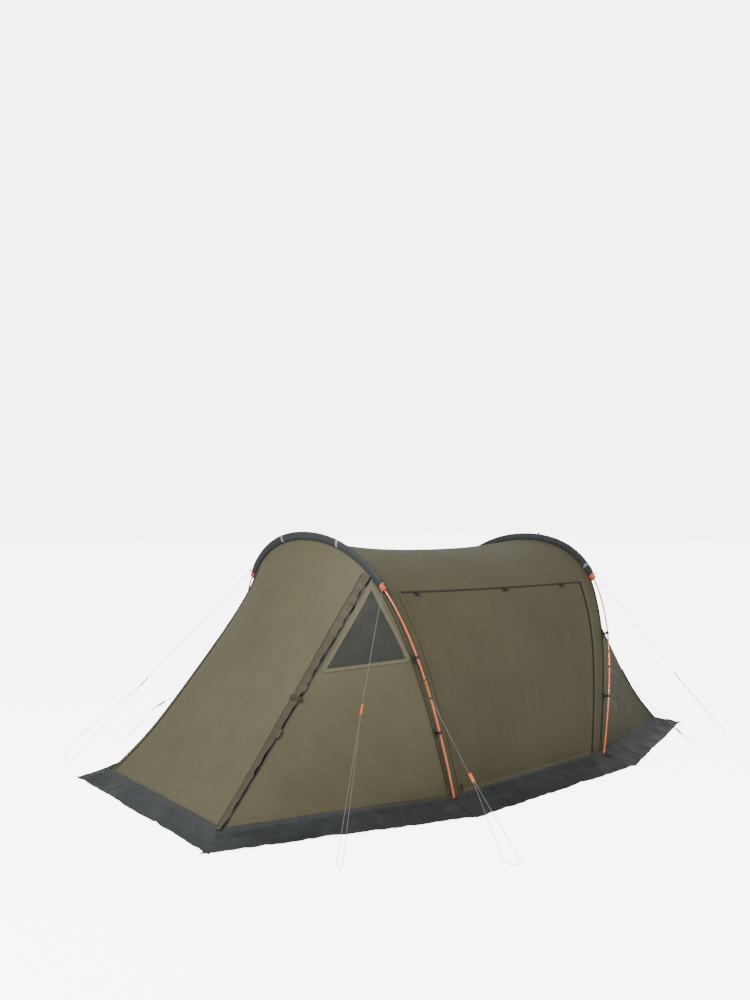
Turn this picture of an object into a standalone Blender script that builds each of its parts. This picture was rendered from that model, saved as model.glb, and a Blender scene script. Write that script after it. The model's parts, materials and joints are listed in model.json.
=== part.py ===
"""Two-hoop tunnel tent, pitched: bowed poles in sleeves, outer fabric, zipped doors, mesh windows,
ground skirt, pole clips and guy lines. Metres, +Z up. +X runs from the front bay to the rear bay,
-Y is the near side. The origin is on the ground under the middle of the body."""
import math

import bmesh
import bpy
import numpy as np
from mathutils import Matrix, Vector
from mathutils.geometry import interpolate_bezier

# Hoops
HOOP_HEIGHT = 1.27  # along the hoop's own leaning plane
HOOP_HALF_WIDTH = 0.914
FOOT_SPLAY = math.radians(7.2)  # the legs lean in from the ground up
LEG_PULL = 0.733  # how far the leg stays straight
CROWN_PULL = 0.634  # how flat the crown is
HOOP_SPACING = 1.185
FRONT_LEAN = math.radians(-8.9)
REAR_LEAN = math.radians(16.9)

# End bays and walls
FRONT_DEPTH = 1.075
REAR_DEPTH = 0.974
FRONT_HALF_WIDTH = 0.573
REAR_HALF_WIDTH = 0.628
FABRIC = 0.003
WALL_FOOT = 0.036  # height of the walls' bottom edge above the ground
FOOT_INSET = 0.022  # walls' bottom corners stand this far inside the pole feet
ROOF_SAG = 0.062
WALL_SAG = 0.012
BAY_PULL_IN = 0.043  # how far the bays' side edges are drawn in, across the tent
BAY_PULL_DOWN = 0.036  # and down into the bay
BAY_PULL_SHAPE = 4
CROWN_FADE = 1.3
ARCH_STEPS = 16
SIDE_STEPS = 6
WALL_STEPS = 5

# Poles
POLE_RADIUS = 0.00425
FERRULE_RADIUS = 0.0052
FERRULE_HALF = 0.045
SEGMENTS = 6
POLE_SIDES = 8
BORE_CLEARANCE = 0.0004

# Sleeves and clips
SLEEVE_START = 0.314  # share of the pole's length below the sleeve
SLEEVE_HALF_HEIGHT = 0.0205
SLEEVE_HALF_WIDTH = 0.0098
SLEEVE_BORE = 0.0076
LEG_STAND_OFF = 0.014  # extra room between the bowed legs and the walls
CLIP_SHARES = (0.105, 0.212)
CLIP_RADIUS = 0.0085
CLIP_HEIGHT = 0.014
STRAP_THICKNESS = 0.0025

# Openings
FRONT_ZIP_SHARE = 0.345  # where the front zips meet the hoop
ZIP_GAP = 0.003
TURN_GAP = 0.006  # room for the front door's top edge to turn in
DOOR_MARGIN = 0.075  # side door to the hoops
WINDOW_MARGIN = 0.030
WINDOW_TOP_SHARE = 0.297  # share of the pole's length at the window's top

# Skirt
SKIRT_END_WIDTH = 0.135  # at the bays' corners
SKIRT_HOOP_WIDTH = 0.22  # at the pole feet
SKIRT_INSIDE = 0.005
SKIRT_LEDGE = 0.002
SKIRT_EDGE = 0.002

# Guy lines
CORD_RADIUS = 0.00125
RUNNER_SIZE = (0.050, 0.014, 0.006)
RUNNER_CLEARANCE = 0.0006
RUNNER_SIDE = 0.0035  # the bore lies this far off the runner's middle
KNOT_RUN = 0.014  # straight cord below a runner
PEG_TURN = 0.024  # how far from a peg the cord starts to turn
# Each line's route: its hold on the hoop, its runner, and the two pegs that spread its loop.
GUY_LINES = {
    "front_near_upper": ((-0.7060, -0.5736, 1.0475), (-1.039, -0.809, 0.527),
                         (-1.412, -1.104, 0), (-1.438, -1.171, 0)),
    "front_near_lower": ((-0.6216, -0.8248, 0.5085), (-0.752, -1.205, 0.251),
                         (-0.889, -1.524, 0), (-0.854, -1.593, 0)),
    "front_far_upper": ((-0.7060, 0.5736, 1.0475), (-1.255, 0.864, 0.431),
                        (-1.568, 1.308, 0), (-1.720, 0.915, 0)),
    "front_far_lower": ((-0.6216, 0.8248, 0.5085), (-1.008, 1.166, 0.212),
                        (-1.262, 1.397, 0), (-1.255, 1.217, 0)),
    "rear_near_upper": ((0.9512, -0.5736, 1.0144), (1.426, -0.878, 0.377),
                        (1.881, -0.959, 0), (1.702, -1.075, 0)),
    "rear_near_lower": ((0.7926, -0.8248, 0.4924), (1.187, -1.048, 0.108),
                        (1.355, -1.116, 0), (1.275, -1.138, 0)),
}

GAP = 0.0003
CORE_HEIGHT = 0.04
CORE_REACH = 0.2  # share of each bay's depth
SEAM = GAP / 2

FRONT_X = (FRONT_DEPTH - HOOP_SPACING - REAR_DEPTH) / 2
REAR_X = FRONT_X + HOOP_SPACING
FRONT = (FRONT_X, FRONT_LEAN)
REAR = (REAR_X, REAR_LEAN)

OLIVE = (0.16, 0.14, 0.085, 1)
SKIRT_GREY = (0.045, 0.052, 0.055, 1)
SLEEVE_GREY = (0.06, 0.07, 0.075, 1)
MESH_BLACK = (0.03, 0.03, 0.028, 1)
ORANGE = (0.75, 0.16, 0.035, 1)
CLIP_BLACK = (0.012, 0.012, 0.012, 1)
CORD_GREY = (0.5, 0.48, 0.45, 1)

for old in list(bpy.data.objects):
    bpy.data.objects.remove(old, do_unlink=True)
tent = bpy.data.collections.new("tunnel_tent")
cutters = bpy.data.collections.new("cutters")
for collection in (tent, cutters):
    bpy.context.scene.collection.children.link(collection)


# ---- materials and objects

def finish(name, colour, roughness):
    material = bpy.data.materials.new(name)
    material.use_nodes = True
    shader = material.node_tree.nodes["Principled BSDF"]
    shader.inputs["Base Color"].default_value = colour
    shader.inputs["Roughness"].default_value = roughness
    return material


def add_mesh(name, points, faces, colour, roughness=0.8, collection=tent):
    mesh = bpy.data.meshes.new(name)
    mesh.from_pydata([tuple(p) for p in points], [], faces)
    shape = bmesh.new()
    shape.from_mesh(mesh)
    bmesh.ops.recalc_face_normals(shape, faces=shape.faces)
    shape.to_mesh(mesh)
    shape.free()
    thing = bpy.data.objects.new(name, mesh)
    collection.objects.link(thing)
    mesh.materials.append(finish(name, colour, roughness))
    return thing


def set_origin(thing, point):
    """Puts the object's origin on its joint's axis without moving its surface."""
    thing.data.transform(Matrix.Translation(-Vector(point)))
    thing.location = point


def loft(name, rings, colour, roughness=0.8, collection=tent):
    """A closed solid through rings of equal count, capped at its two ends."""
    count = len(rings[0])
    points = [p for ring in rings for p in ring]
    faces = []
    for r in range(len(rings) - 1):
        for i in range(count):
            j = (i + 1) % count
            faces.append((r * count + i, r * count + j, (r + 1) * count + j, (r + 1) * count + i))
    faces.append(tuple(range(count)))
    faces.append(tuple(range((len(rings) - 1) * count, len(rings) * count)))
    return add_mesh(name, points, faces, colour, roughness, collection)


# ---- hoop curve

def half_hoop():
    foot = Vector((HOOP_HALF_WIDTH, 0, 0))
    top = Vector((0, HOOP_HEIGHT, 0))
    leg = foot + Vector((-math.sin(FOOT_SPLAY), math.cos(FOOT_SPLAY), 0)) * LEG_PULL
    crown = top + Vector((CROWN_PULL, 0, 0))
    return interpolate_bezier(foot, leg, crown, top, 129)


HALF = half_hoop()
FLAT = [Vector((-p.x, p.y)) for p in HALF] + [Vector((p.x, p.y)) for p in reversed(HALF[:-1])]
RUN = np.concatenate([[0], np.cumsum([(b - a).length for a, b in zip(FLAT, FLAT[1:])])])
POLE_LENGTH = RUN[-1]
SHARES = RUN / POLE_LENGTH


def flat_point(share):
    y = np.interp(share, SHARES, [p.x for p in FLAT])
    h = np.interp(share, SHARES, [p.y for p in FLAT])
    return Vector((y, h))


def flat_inward(share):
    """Unit vector from the pole towards the inside of the hoop, in the hoop's plane."""
    step = 0.004
    along = flat_point(min(share + step, 1)) - flat_point(max(share - step, 0))
    return Vector((along.y, -along.x)).normalized()


def stand(hoop, flat):
    x, lean = hoop
    return Vector((x + flat.y * math.sin(lean), flat.x, flat.y * math.cos(lean)))


def pole_point(hoop, share, inward=0.0):
    return stand(hoop, flat_point(share) + flat_inward(share) * inward)


def hoop_normal(hoop):
    """Unit vector square to the hoop's plane, pointing to the rear."""
    return Vector((math.cos(hoop[1]), 0, -math.sin(hoop[1])))


def skin_point(hoop, share):
    """The fabric's crease under the pole: close under the sleeve, further off along the legs."""
    leg = min(share, 1 - share) / SLEEVE_START
    drop = SLEEVE_HALF_HEIGHT + GAP
    if leg < 1:
        drop += LEG_STAND_OFF * math.sin(math.pi * leg) ** 0.7 + (FOOT_INSET - drop) * (1 - leg)
    return pole_point(hoop, share, drop)


SAMPLES = np.linspace(0, 0.5, 401)


def share_at_height(hoop, height):
    heights = [skin_point(hoop, s).z for s in SAMPLES]
    return float(np.interp(height, heights, SAMPLES))


# ---- fabric

def towards_core(point):
    """Unit vector from a point on the fabric to the middle of the tent: every panel gets its
    thickness along it, so that neighbouring panels meet face to face."""
    x = min(max(point.x, FRONT_X - CORE_REACH * FRONT_DEPTH), REAR_X + CORE_REACH * REAR_DEPTH)
    return (Vector((x, 0, CORE_HEIGHT)) - point).normalized()


def inside(point):
    return point + towards_core(point) * FABRIC


def fabric(name, rows, colour=OLIVE, skip=None):
    """A closed sheet on a grid of outer points; cells where skip(row, column) holds are left open.
    Twisted cells are split the same way on both sides, so the sides can't cross."""
    high, wide = len(rows), len(rows[0])
    outer = [p for row in rows for p in row]
    points = outer + [inside(p) for p in outer]
    half = high * wide
    faces = []
    edges = {}
    for r in range(high - 1):
        for c in range(wide - 1):
            if skip and skip(r, c):
                continue
            a = r * wide + c
            corners = (a, a + 1, a + wide + 1, a + wide)
            for three in ((a, a + 1, a + wide + 1), (a, a + wide + 1, a + wide)):
                faces.append(three)
                faces.append(tuple(i + half for i in reversed(three)))
            for i, j in zip(corners, corners[1:] + corners[:1]):
                key = (min(i, j), max(i, j))
                edges[key] = None if key in edges else (i, j)
    for rim in edges.values():
        if rim:
            i, j = rim
            faces.append((j, i, i + half, j + half))
    used = sorted({i for face in faces for i in face})
    number = {old: new for new, old in enumerate(used)}
    return add_mesh(name, [points[i] for i in used],
                    [tuple(number[i] for i in face) for face in faces], colour)


def mix(a, b, t):
    return a + (b - a) * t


def crease(hoop, share):
    """The fabric under a pole, from one ground corner (share 0) to the other (share 1)."""
    foot = FEET[hoop]
    return skin_point(hoop, mix(foot, 1 - foot, share))


def fabric_share(pole_share):
    """A share of the pole's length, counted along the fabric from its ground corner."""
    foot = FEET[FRONT]
    return (pole_share - foot) / (1 - 2 * foot)


FEET = {hoop: share_at_height(hoop, WALL_FOOT) for hoop in (FRONT, REAR)}
LOW_CLIP, HIGH_CLIP = (fabric_share(share) for share in CLIP_SHARES)
SEAM_SHARE = fabric_share(SLEEVE_START)
ZIP_SHARE = fabric_share(FRONT_ZIP_SHARE)
MID_SHARE = (LOW_CLIP + HIGH_CLIP) / 2
WINDOW_TOP = fabric_share(WINDOW_TOP_SHARE)
# Rows that neighbouring panels share, so that their edges meet point to point.
LEG_ROWS = (0, LOW_CLIP / 2, LOW_CLIP, MID_SHARE, HIGH_CLIP, (HIGH_CLIP + WINDOW_TOP) / 2,
            WINDOW_TOP, SEAM_SHARE)
WALL_ROWS = LEG_ROWS + ((SEAM_SHARE + ZIP_SHARE) / 2, ZIP_SHARE - 0.006)
ARCH_ROWS = tuple(mix(ZIP_SHARE, 1 - ZIP_SHARE, i / ARCH_STEPS) for i in range(ARCH_STEPS + 1))


def tunnel_point(share, along):
    """The fabric between the hoops: straight lines from hoop to hoop, sagging most at the roof."""
    point = mix(crease(FRONT, share), crease(REAR, share), along)
    dip = 1 - abs(2 * along - 1) ** 2.6
    leg = min(share, 1 - share) / SEAM_SHARE
    arch, wall = 0, math.sin(math.pi * min(leg, 1) / 2)
    if leg > 1:
        arch = math.sin(math.pi * (share - SEAM_SHARE) / (1 - 2 * SEAM_SHARE)) ** 2
    amount = dip * (ROOF_SAG * arch + WALL_SAG * wall * (1 - arch))
    return point + towards_core(point) * amount


def along_columns(margin, trim):
    """Shares of the way between the hoops: the steps inside the door margins, trimmed."""
    door = margin / HOOP_SPACING
    inner = [mix(door, 1 - door, i / SIDE_STEPS) for i in range(SIDE_STEPS + 1)]
    inner[0] += trim / HOOP_SPACING
    inner[-1] -= trim / HOOP_SPACING
    return inner


def make_tunnel():
    shares = WALL_ROWS + ARCH_ROWS + tuple(1 - s for s in reversed(WALL_ROWS))
    across = [SEAM / HOOP_SPACING, *along_columns(DOOR_MARGIN, 0), 1 - SEAM / HOOP_SPACING]
    rows = [[tunnel_point(s, w) for w in across] for s in shares]
    last_row, last_column = len(shares) - 2, len(across) - 2
    door_rows = len(LEG_ROWS) - 1

    def is_door(r, c):
        return 0 < c < last_column and (r < door_rows or r > last_row - door_rows)

    fabric("roof_and_sides", rows, skip=is_door)


def make_side_door(side, far):
    """One leaf under the top seam, turning outwards about the line through its two top corners."""
    shares = list(LEG_ROWS)
    shares[-1] -= 2 * SEAM / POLE_LENGTH
    across = along_columns(DOOR_MARGIN, ZIP_GAP)
    grid = [[tunnel_point(1 - s if far else s, w) for w in across] for s in shares]
    leaf = fabric(f"side_door_{side}", grid)
    set_origin(leaf, grid[-1][0])


# ---- end bays

def bay_edge(bay, down):
    """The near side edge of an end bay, from its hoop (down 0) to its ground corner (down 1)."""
    hoop, depth, half_width = bay
    sign = -1 if hoop is FRONT else 1
    top = crease(hoop, ZIP_SHARE)
    foot = Vector((hoop[0] + sign * depth, -half_width, WALL_FOOT))
    pull = 1 - abs(2 * down - 1) ** BAY_PULL_SHAPE
    slope = (foot - top).normalized()
    into_bay = Vector((-sign * abs(slope.z), 0, -abs(slope.x))).normalized()
    return mix(top, foot, down) + (Vector((0, BAY_PULL_IN, 0)) + into_bay * BAY_PULL_DOWN) * pull


def bay_point(bay, across, down):
    """The sloping end of a bay: from the hoop's arch down to its straight edge on the ground."""
    hoop = bay[0]
    near = bay_edge(bay, down)
    far = Vector((near.x, -near.y, near.z))
    edge = crease(hoop, ZIP_SHARE)
    flat_top = mix(edge, Vector((edge.x, -edge.y, edge.z)), across)
    top = crease(hoop, mix(ZIP_SHARE, 1 - ZIP_SHARE, across))
    return mix(near, far, across) + (top - flat_top) * (1 - down) ** CROWN_FADE


FRONT_BAY = (FRONT, FRONT_DEPTH, FRONT_HALF_WIDTH)
REAR_BAY = (REAR, REAR_DEPTH, REAR_HALF_WIDTH)
DOWN_STEPS = np.linspace(0, 1, 161)


def down_at_height(bay, across, height):
    heights = [-bay_point(bay, across, d).z for d in DOWN_STEPS]
    return float(np.interp(-height, heights, DOWN_STEPS))


def bay_columns(bay, trim):
    """Shares across the bay, on the arch's steps, the outer two trimmed by a length."""
    columns = [i / ARCH_STEPS for i in range(ARCH_STEPS + 1)]
    columns[0] = trim / (2 * bay[2])
    columns[-1] = 1 - columns[0]
    return columns


def wall_heights(hoop):
    return [crease(hoop, share).z for share in reversed(WALL_ROWS)]


def bay_rows(bay, trim, top_height, low_height):
    """Rows of an end bay between two heights, each level only at the walls' own rows."""
    levels = [z for z in wall_heights(bay[0]) if low_height - GAP < z < top_height + GAP]
    downs = [down_at_height(bay, 0, z) for z in levels]
    columns = bay_columns(bay, trim)
    starts = [SEAM / bay[1]] * len(columns)
    if top_height < wall_heights(bay[0])[0]:
        starts = [down_at_height(bay, u, top_height - TURN_GAP) for u in columns]
        downs[0] = starts[0]
    else:
        downs.insert(0, starts[0])
    stops = [1.0] * len(columns)
    if low_height > WALL_FOOT + GAP:
        stops = [down_at_height(bay, u, low_height) for u in columns]
    span = downs[-1] - downs[0]
    return [[bay_point(bay, u, mix(starts[i], stops[i], (d - downs[0]) / span))
             for i, u in enumerate(columns)] for d in downs]


def make_front():
    fold = crease(FRONT, WINDOW_TOP).z
    fabric("front_cap", bay_rows(FRONT_BAY, SEAM, HOOP_HEIGHT, fold))
    door = fabric("front_door", bay_rows(FRONT_BAY, ZIP_GAP, fold, WALL_FOOT))
    corner = bay_point(FRONT_BAY, 0, down_at_height(FRONT_BAY, 0, fold))
    set_origin(door, Vector((corner.x, 0, corner.z)))


def wall_row(bay, share, columns, far):
    """One level row of a bay's side wall, from the bay's edge to the hoop's crease."""
    corner = crease(bay[0], share)
    edge = bay_edge(bay, down_at_height(bay, 0, corner.z))
    row = [mix(edge, corner, s) for s in columns((corner - edge).length)]
    return [Vector((p.x, -p.y, p.z)) for p in row] if far else row


def plain_columns(length):
    return [mix(SEAM / length, 1 - SEAM / length, i / WALL_STEPS) for i in range(WALL_STEPS + 1)]


def window_columns(length):
    """The wall's two outer strips and, between them, the window's steps."""
    left = WINDOW_MARGIN / length
    inner = [mix(left, 1 - left, i / WALL_STEPS) for i in range(WALL_STEPS + 1)]
    return [SEAM / length, *inner, 1 - SEAM / length]


def narrow_columns(length):
    """Above the window, where the wall is narrower than its margins."""
    count = WALL_STEPS + 2
    return [mix(SEAM / length, 1 - SEAM / length, i / count) for i in range(count + 1)]


def pane_columns(length):
    left = (WINDOW_MARGIN + 2 * GAP) / length
    return [mix(left, 1 - left, i / WALL_STEPS) for i in range(WALL_STEPS + 1)]


def make_bay_walls(side, far):
    shares = list(reversed(WALL_ROWS))
    first, last = shares.index(WINDOW_TOP), shares.index(HIGH_CLIP)
    rows = [wall_row(FRONT_BAY, s, narrow_columns if r < first else window_columns, far)
            for r, s in enumerate(shares)]

    def is_window(r, c):
        return first <= r < last and 1 <= c <= WALL_STEPS

    fabric(f"front_wall_{side}", rows, skip=is_window)
    pane = shares[first:last + 1]
    pane[0] -= 3 * SEAM / POLE_LENGTH
    pane[-1] += 3 * SEAM / POLE_LENGTH
    fabric(f"window_{side}", [wall_row(FRONT_BAY, s, pane_columns, far) for s in pane],
           MESH_BLACK)
    fabric(f"rear_wall_{side}", [wall_row(REAR_BAY, s, plain_columns, far) for s in shares])


def make_rear():
    fabric("rear_panel", bay_rows(REAR_BAY, SEAM, HOOP_HEIGHT, WALL_FOOT))


# ---- skirt

def footprint():
    """Ground corners of the walls, near side from front to rear, then the far side back."""
    near = [Vector((FRONT_X - FRONT_DEPTH, -FRONT_HALF_WIDTH)),
            crease(FRONT, 0).xy, crease(REAR, 0).xy,
            Vector((REAR_X + REAR_DEPTH, -REAR_HALF_WIDTH))]
    return near + [Vector((p.x, -p.y)) for p in reversed(near)]


def grown(corners, distances):
    """The outline with every corner moved out along its mitre, each by its own distance."""
    result = []
    for i, (corner, distance) in enumerate(zip(corners, distances)):
        before = (corner - corners[i - 1]).normalized()
        after = (corners[(i + 1) % len(corners)] - corner).normalized()
        out_a, out_b = Vector((before.y, -before.x)), Vector((after.y, -after.x))
        mitre = (out_a + out_b).normalized()
        result.append(corner + mitre * (distance / mitre.dot(out_a)))
    return result


def make_skirt():
    corners = footprint()
    top = WALL_FOOT - GAP
    inner, ledge = [-SKIRT_INSIDE] * len(corners), [SKIRT_LEDGE] * len(corners)
    free = [SKIRT_END_WIDTH, SKIRT_HOOP_WIDTH, SKIRT_HOOP_WIDTH, SKIRT_END_WIDTH] * 2
    section = ((inner, 0), (inner, top), (ledge, top), (free, SKIRT_EDGE), (free, 0))
    outlines = [(grown(corners, distances), height) for distances, height in section]
    names = ("near_front", "near_side", "near_rear", "rear", "far_rear", "far_side",
             "far_front", "front")
    for i, name in enumerate(names):
        j = (i + 1) % len(corners)
        along = (corners[j] - corners[i]).normalized().to_3d()
        rings = []
        for corner, inset in ((i, 1), (j, -1)):
            rings.append([outline[corner].to_3d() + Vector((0, 0, height)) + along * inset * GAP
                          for outline, height in outlines])
        loft(f"skirt_{name}", rings, SKIRT_GREY, 0.55)


# ---- poles

def ring(hoop, share, radius, sides, wide=None):
    """Points round the pole at a share of its length; wide is the radius square to the hoop."""
    centre = flat_point(share)
    inward = flat_inward(share)
    across = hoop_normal(hoop)
    points = []
    for i in range(sides):
        turn = 2 * math.pi * i / sides
        in_plane = stand(hoop, centre + inward * radius * math.cos(turn))
        points.append(in_plane + across * (radius if wide is None else wide) * math.sin(turn))
    return points


def make_poles(end, hoop):
    socket = FERRULE_HALF / POLE_LENGTH
    slack = GAP / POLE_LENGTH
    foot = pole_seat(hoop)
    for number in range(1, SEGMENTS + 1):
        start = (number - 1) / SEGMENTS + slack if number > 1 else foot
        stop = number / SEGMENTS if number < SEGMENTS else 1 - foot
        rungs = 9
        stations = [(mix(start, stop if number == SEGMENTS else stop - socket, i / rungs),
                     POLE_RADIUS) for i in range(rungs + 1)]
        if number > 1:
            stations.insert(1, (start + socket - slack, POLE_RADIUS))
        if number < SEGMENTS:
            bore = POLE_RADIUS + BORE_CLEARANCE
            stations += [(stop - socket, FERRULE_RADIUS), (stop, FERRULE_RADIUS),
                         (stop + socket, FERRULE_RADIUS), (stop + socket, bore), (stop, bore)]
        rings = [ring(hoop, share, radius, POLE_SIDES) for share, radius in stations]
        loft(f"pole_{end}_{number}", rings, ORANGE, 0.35)


def pole_seat(hoop):
    """Share of the pole where its foot stands on the skirt's slope."""
    slope = (WALL_FOOT - GAP - SKIRT_EDGE) / (SKIRT_HOOP_WIDTH - SKIRT_LEDGE)
    height = WALL_FOOT - GAP - slope * (FOOT_INSET - SKIRT_LEDGE) + GAP + POLE_RADIUS * 0.36
    heights = [pole_point(hoop, s).z for s in SAMPLES]
    return float(np.interp(height, heights, SAMPLES))


def make_sleeve(end, hoop):
    sides = 12
    foot = FEET[hoop]
    low = WALL_ROWS[WALL_ROWS.index(SEAM_SHARE):]
    rungs = low + ARCH_ROWS + tuple(1 - share for share in reversed(low))
    shares = [mix(foot, 1 - foot, share) for share in rungs]
    outer = [ring(hoop, s, SLEEVE_HALF_HEIGHT, sides, SLEEVE_HALF_WIDTH) for s in shares]
    bore = [ring(hoop, s, SLEEVE_BORE, sides) for s in reversed(shares)]
    rings = outer + bore
    points = [p for one in rings for p in one]
    faces = []
    for r in range(len(rings)):
        for i in range(sides):
            j = (i + 1) % sides
            n = (r + 1) % len(rings)
            faces.append((r * sides + i, r * sides + j, n * sides + j, n * sides + i))
    add_mesh(f"sleeve_{end}", points, faces, SLEEVE_GREY, 0.6)


# ---- clips

def boolean(thing, other, operation):
    modifier = thing.modifiers.new(operation.lower(), "BOOLEAN")
    modifier.object = other
    modifier.operation = operation
    modifier.solver = "EXACT"


def cutter(name, place, add):
    add()
    thing = bpy.context.object
    thing.name = name
    for owner in list(thing.users_collection):
        owner.objects.unlink(thing)
    cutters.objects.link(thing)
    thing.matrix_world = place @ thing.matrix_world
    thing.hide_render = True
    thing.display_type = "WIRE"
    return thing


def make_clip(name, hoop, share):
    """A hook round the pole on a short strap from the fabric's crease."""
    centre = pole_point(hoop, share)
    to_skin = stand(hoop, flat_inward(share)) - stand(hoop, Vector((0, 0)))
    side = hoop_normal(hoop)
    axis = to_skin.cross(side).normalized()
    place = Matrix((to_skin, side, axis)).transposed().to_4x4()
    place.translation = centre
    reach = (skin_point(hoop, share) - centre).length - 2 * GAP
    bpy.ops.mesh.primitive_cylinder_add(vertices=16, radius=CLIP_RADIUS, depth=CLIP_HEIGHT)
    clip = bpy.context.object
    clip.name = name
    clip.data.name = name
    for owner in list(clip.users_collection):
        owner.objects.unlink(clip)
    tent.objects.link(clip)
    clip.matrix_world = place
    clip.data.materials.append(finish(name, CLIP_BLACK, 0.5))
    root = CLIP_RADIUS - 0.002
    strap = cutter(f"{name}_strap", place, lambda: bpy.ops.mesh.primitive_cube_add(
        size=1, location=((root + reach) / 2, 0, 0),
        scale=(reach - root, STRAP_THICKNESS, CLIP_HEIGHT * 0.8)))
    bore = cutter(f"{name}_bore", place, lambda: bpy.ops.mesh.primitive_cylinder_add(
        vertices=16, radius=POLE_RADIUS + 2 * GAP, depth=CLIP_HEIGHT * 2))
    mouth = cutter(f"{name}_mouth", place, lambda: bpy.ops.mesh.primitive_cube_add(
        size=1, location=(-CLIP_RADIUS, 0, 0),
        scale=(CLIP_RADIUS * 2, POLE_RADIUS * 1.4, CLIP_HEIGHT * 2)))
    boolean(clip, strap, "UNION")
    boolean(clip, bore, "DIFFERENCE")
    boolean(clip, mouth, "DIFFERENCE")


# ---- guy lines

def runner_frame(name):
    """A runner's bore centre, the way its line goes down, and the way to the second peg."""
    hold, runner, peg_a, peg_b = (Vector(p) for p in GUY_LINES[name])
    down = (runner - hold).normalized()
    spread = peg_b - peg_a
    side = (spread - down * spread.dot(down)).normalized()
    return runner, down, side


def turned(points, cuts):
    """The points with every inner corner rounded: cuts says how far from it the turn starts."""
    smooth = [points[0]]
    for before, corner, after, cut in zip(points, points[1:], points[2:], cuts):
        start = corner + (before - corner).normalized() * cut
        stop = corner + (after - corner).normalized() * cut
        for i in range(6):
            t = i / 5
            smooth.append(mix(mix(start, corner, t), mix(corner, stop, t), t))
    return smooth + [points[-1]]


def make_guy_line(name):
    """One cord: down from the hoop, through its runner, round both pegs and back to the runner."""
    hold, runner, peg_a, peg_b = (Vector(p) for p in GUY_LINES[name])
    rest = Vector((0, 0, CORD_RADIUS + GAP))
    runner, down, side = runner_frame(name)
    below = down * RUNNER_SIZE[0] / 2
    end = runner + below + side * 2 * RUNNER_SIDE + down * GAP
    route = turned([hold, runner + below + down * KNOT_RUN, peg_a + rest, peg_b + rest,
                    end + down * KNOT_RUN, end],
                   (KNOT_RUN / 2, PEG_TURN, PEG_TURN, KNOT_RUN / 2))
    curve = bpy.data.curves.new(name, "CURVE")
    curve.dimensions = "3D"
    curve.bevel_depth = CORD_RADIUS
    curve.bevel_resolution = 2
    curve.use_fill_caps = True
    spline = curve.splines.new("POLY")
    spline.points.add(len(route) - 1)
    for point, place in zip(spline.points, route):
        point.co = (*place, 1)
    curve.materials.append(finish(name, CORD_GREY, 0.7))
    tent.objects.link(bpy.data.objects.new(f"guy_line_{name}", curve))


def make_runner(name):
    """A flat bar on the line, with a bore for the line and the loop's end held beside it."""
    runner, down, side = runner_frame(name)
    place = Matrix((down, side, down.cross(side))).transposed().to_4x4()
    place.translation = runner
    length, width, thickness = RUNNER_SIZE
    bpy.ops.mesh.primitive_cube_add(size=1)
    bar = bpy.context.object
    bar.name = bar.data.name = f"runner_{name}"
    for owner in list(bar.users_collection):
        owner.objects.unlink(bar)
    tent.objects.link(bar)
    bar.data.transform(Matrix.Translation((0, RUNNER_SIDE, 0))
                       @ Matrix.Diagonal((length, width, thickness, 1)))
    bar.matrix_world = place
    bar.data.materials.append(finish(bar.name, ORANGE, 0.35))
    bevel = bar.modifiers.new("edges", "BEVEL")
    bevel.width = 0.0012
    bevel.segments = 1
    bore = cutter(f"{bar.name}_bore", place @ Matrix.Rotation(math.pi / 2, 4, "Y"),
                  lambda: bpy.ops.mesh.primitive_cylinder_add(
                      vertices=12, radius=CORD_RADIUS + RUNNER_CLEARANCE, depth=2 * length))
    boolean(bar, bore, "DIFFERENCE")


# ---- build

make_tunnel()
for side, far in (("near", False), ("far", True)):
    make_side_door(side, far)
    make_bay_walls(side, far)
make_front()
make_rear()
make_skirt()
for end, hoop in (("front", FRONT), ("rear", REAR)):
    make_poles(end, hoop)
    make_sleeve(end, hoop)
    for level, share in zip(("low", "high"), CLIP_SHARES):
        make_clip(f"clip_{end}_near_{level}", hoop, share)
        make_clip(f"clip_{end}_far_{level}", hoop, 1 - share)
for name in GUY_LINES:
    make_guy_line(name)
    make_runner(name)
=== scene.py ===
# %% [markdown]
# # A tunnel tent, pitched
# This notebook dresses a plain working model of a two-pole tunnel tent. The working model already
# has every size, joint and collision shape. Here each soft panel gets real cloth, seams and zips,
# each pole its lacquer and ferrules, and each guy line its knots. Nothing rigid is moved.

# %% Load the working model
import json
import math

import bmesh
import bpy
import numpy as np
from mathutils import Matrix, Vector, noise
from mathutils.bvhtree import BVHTree
from mathutils.kdtree import KDTree

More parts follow.
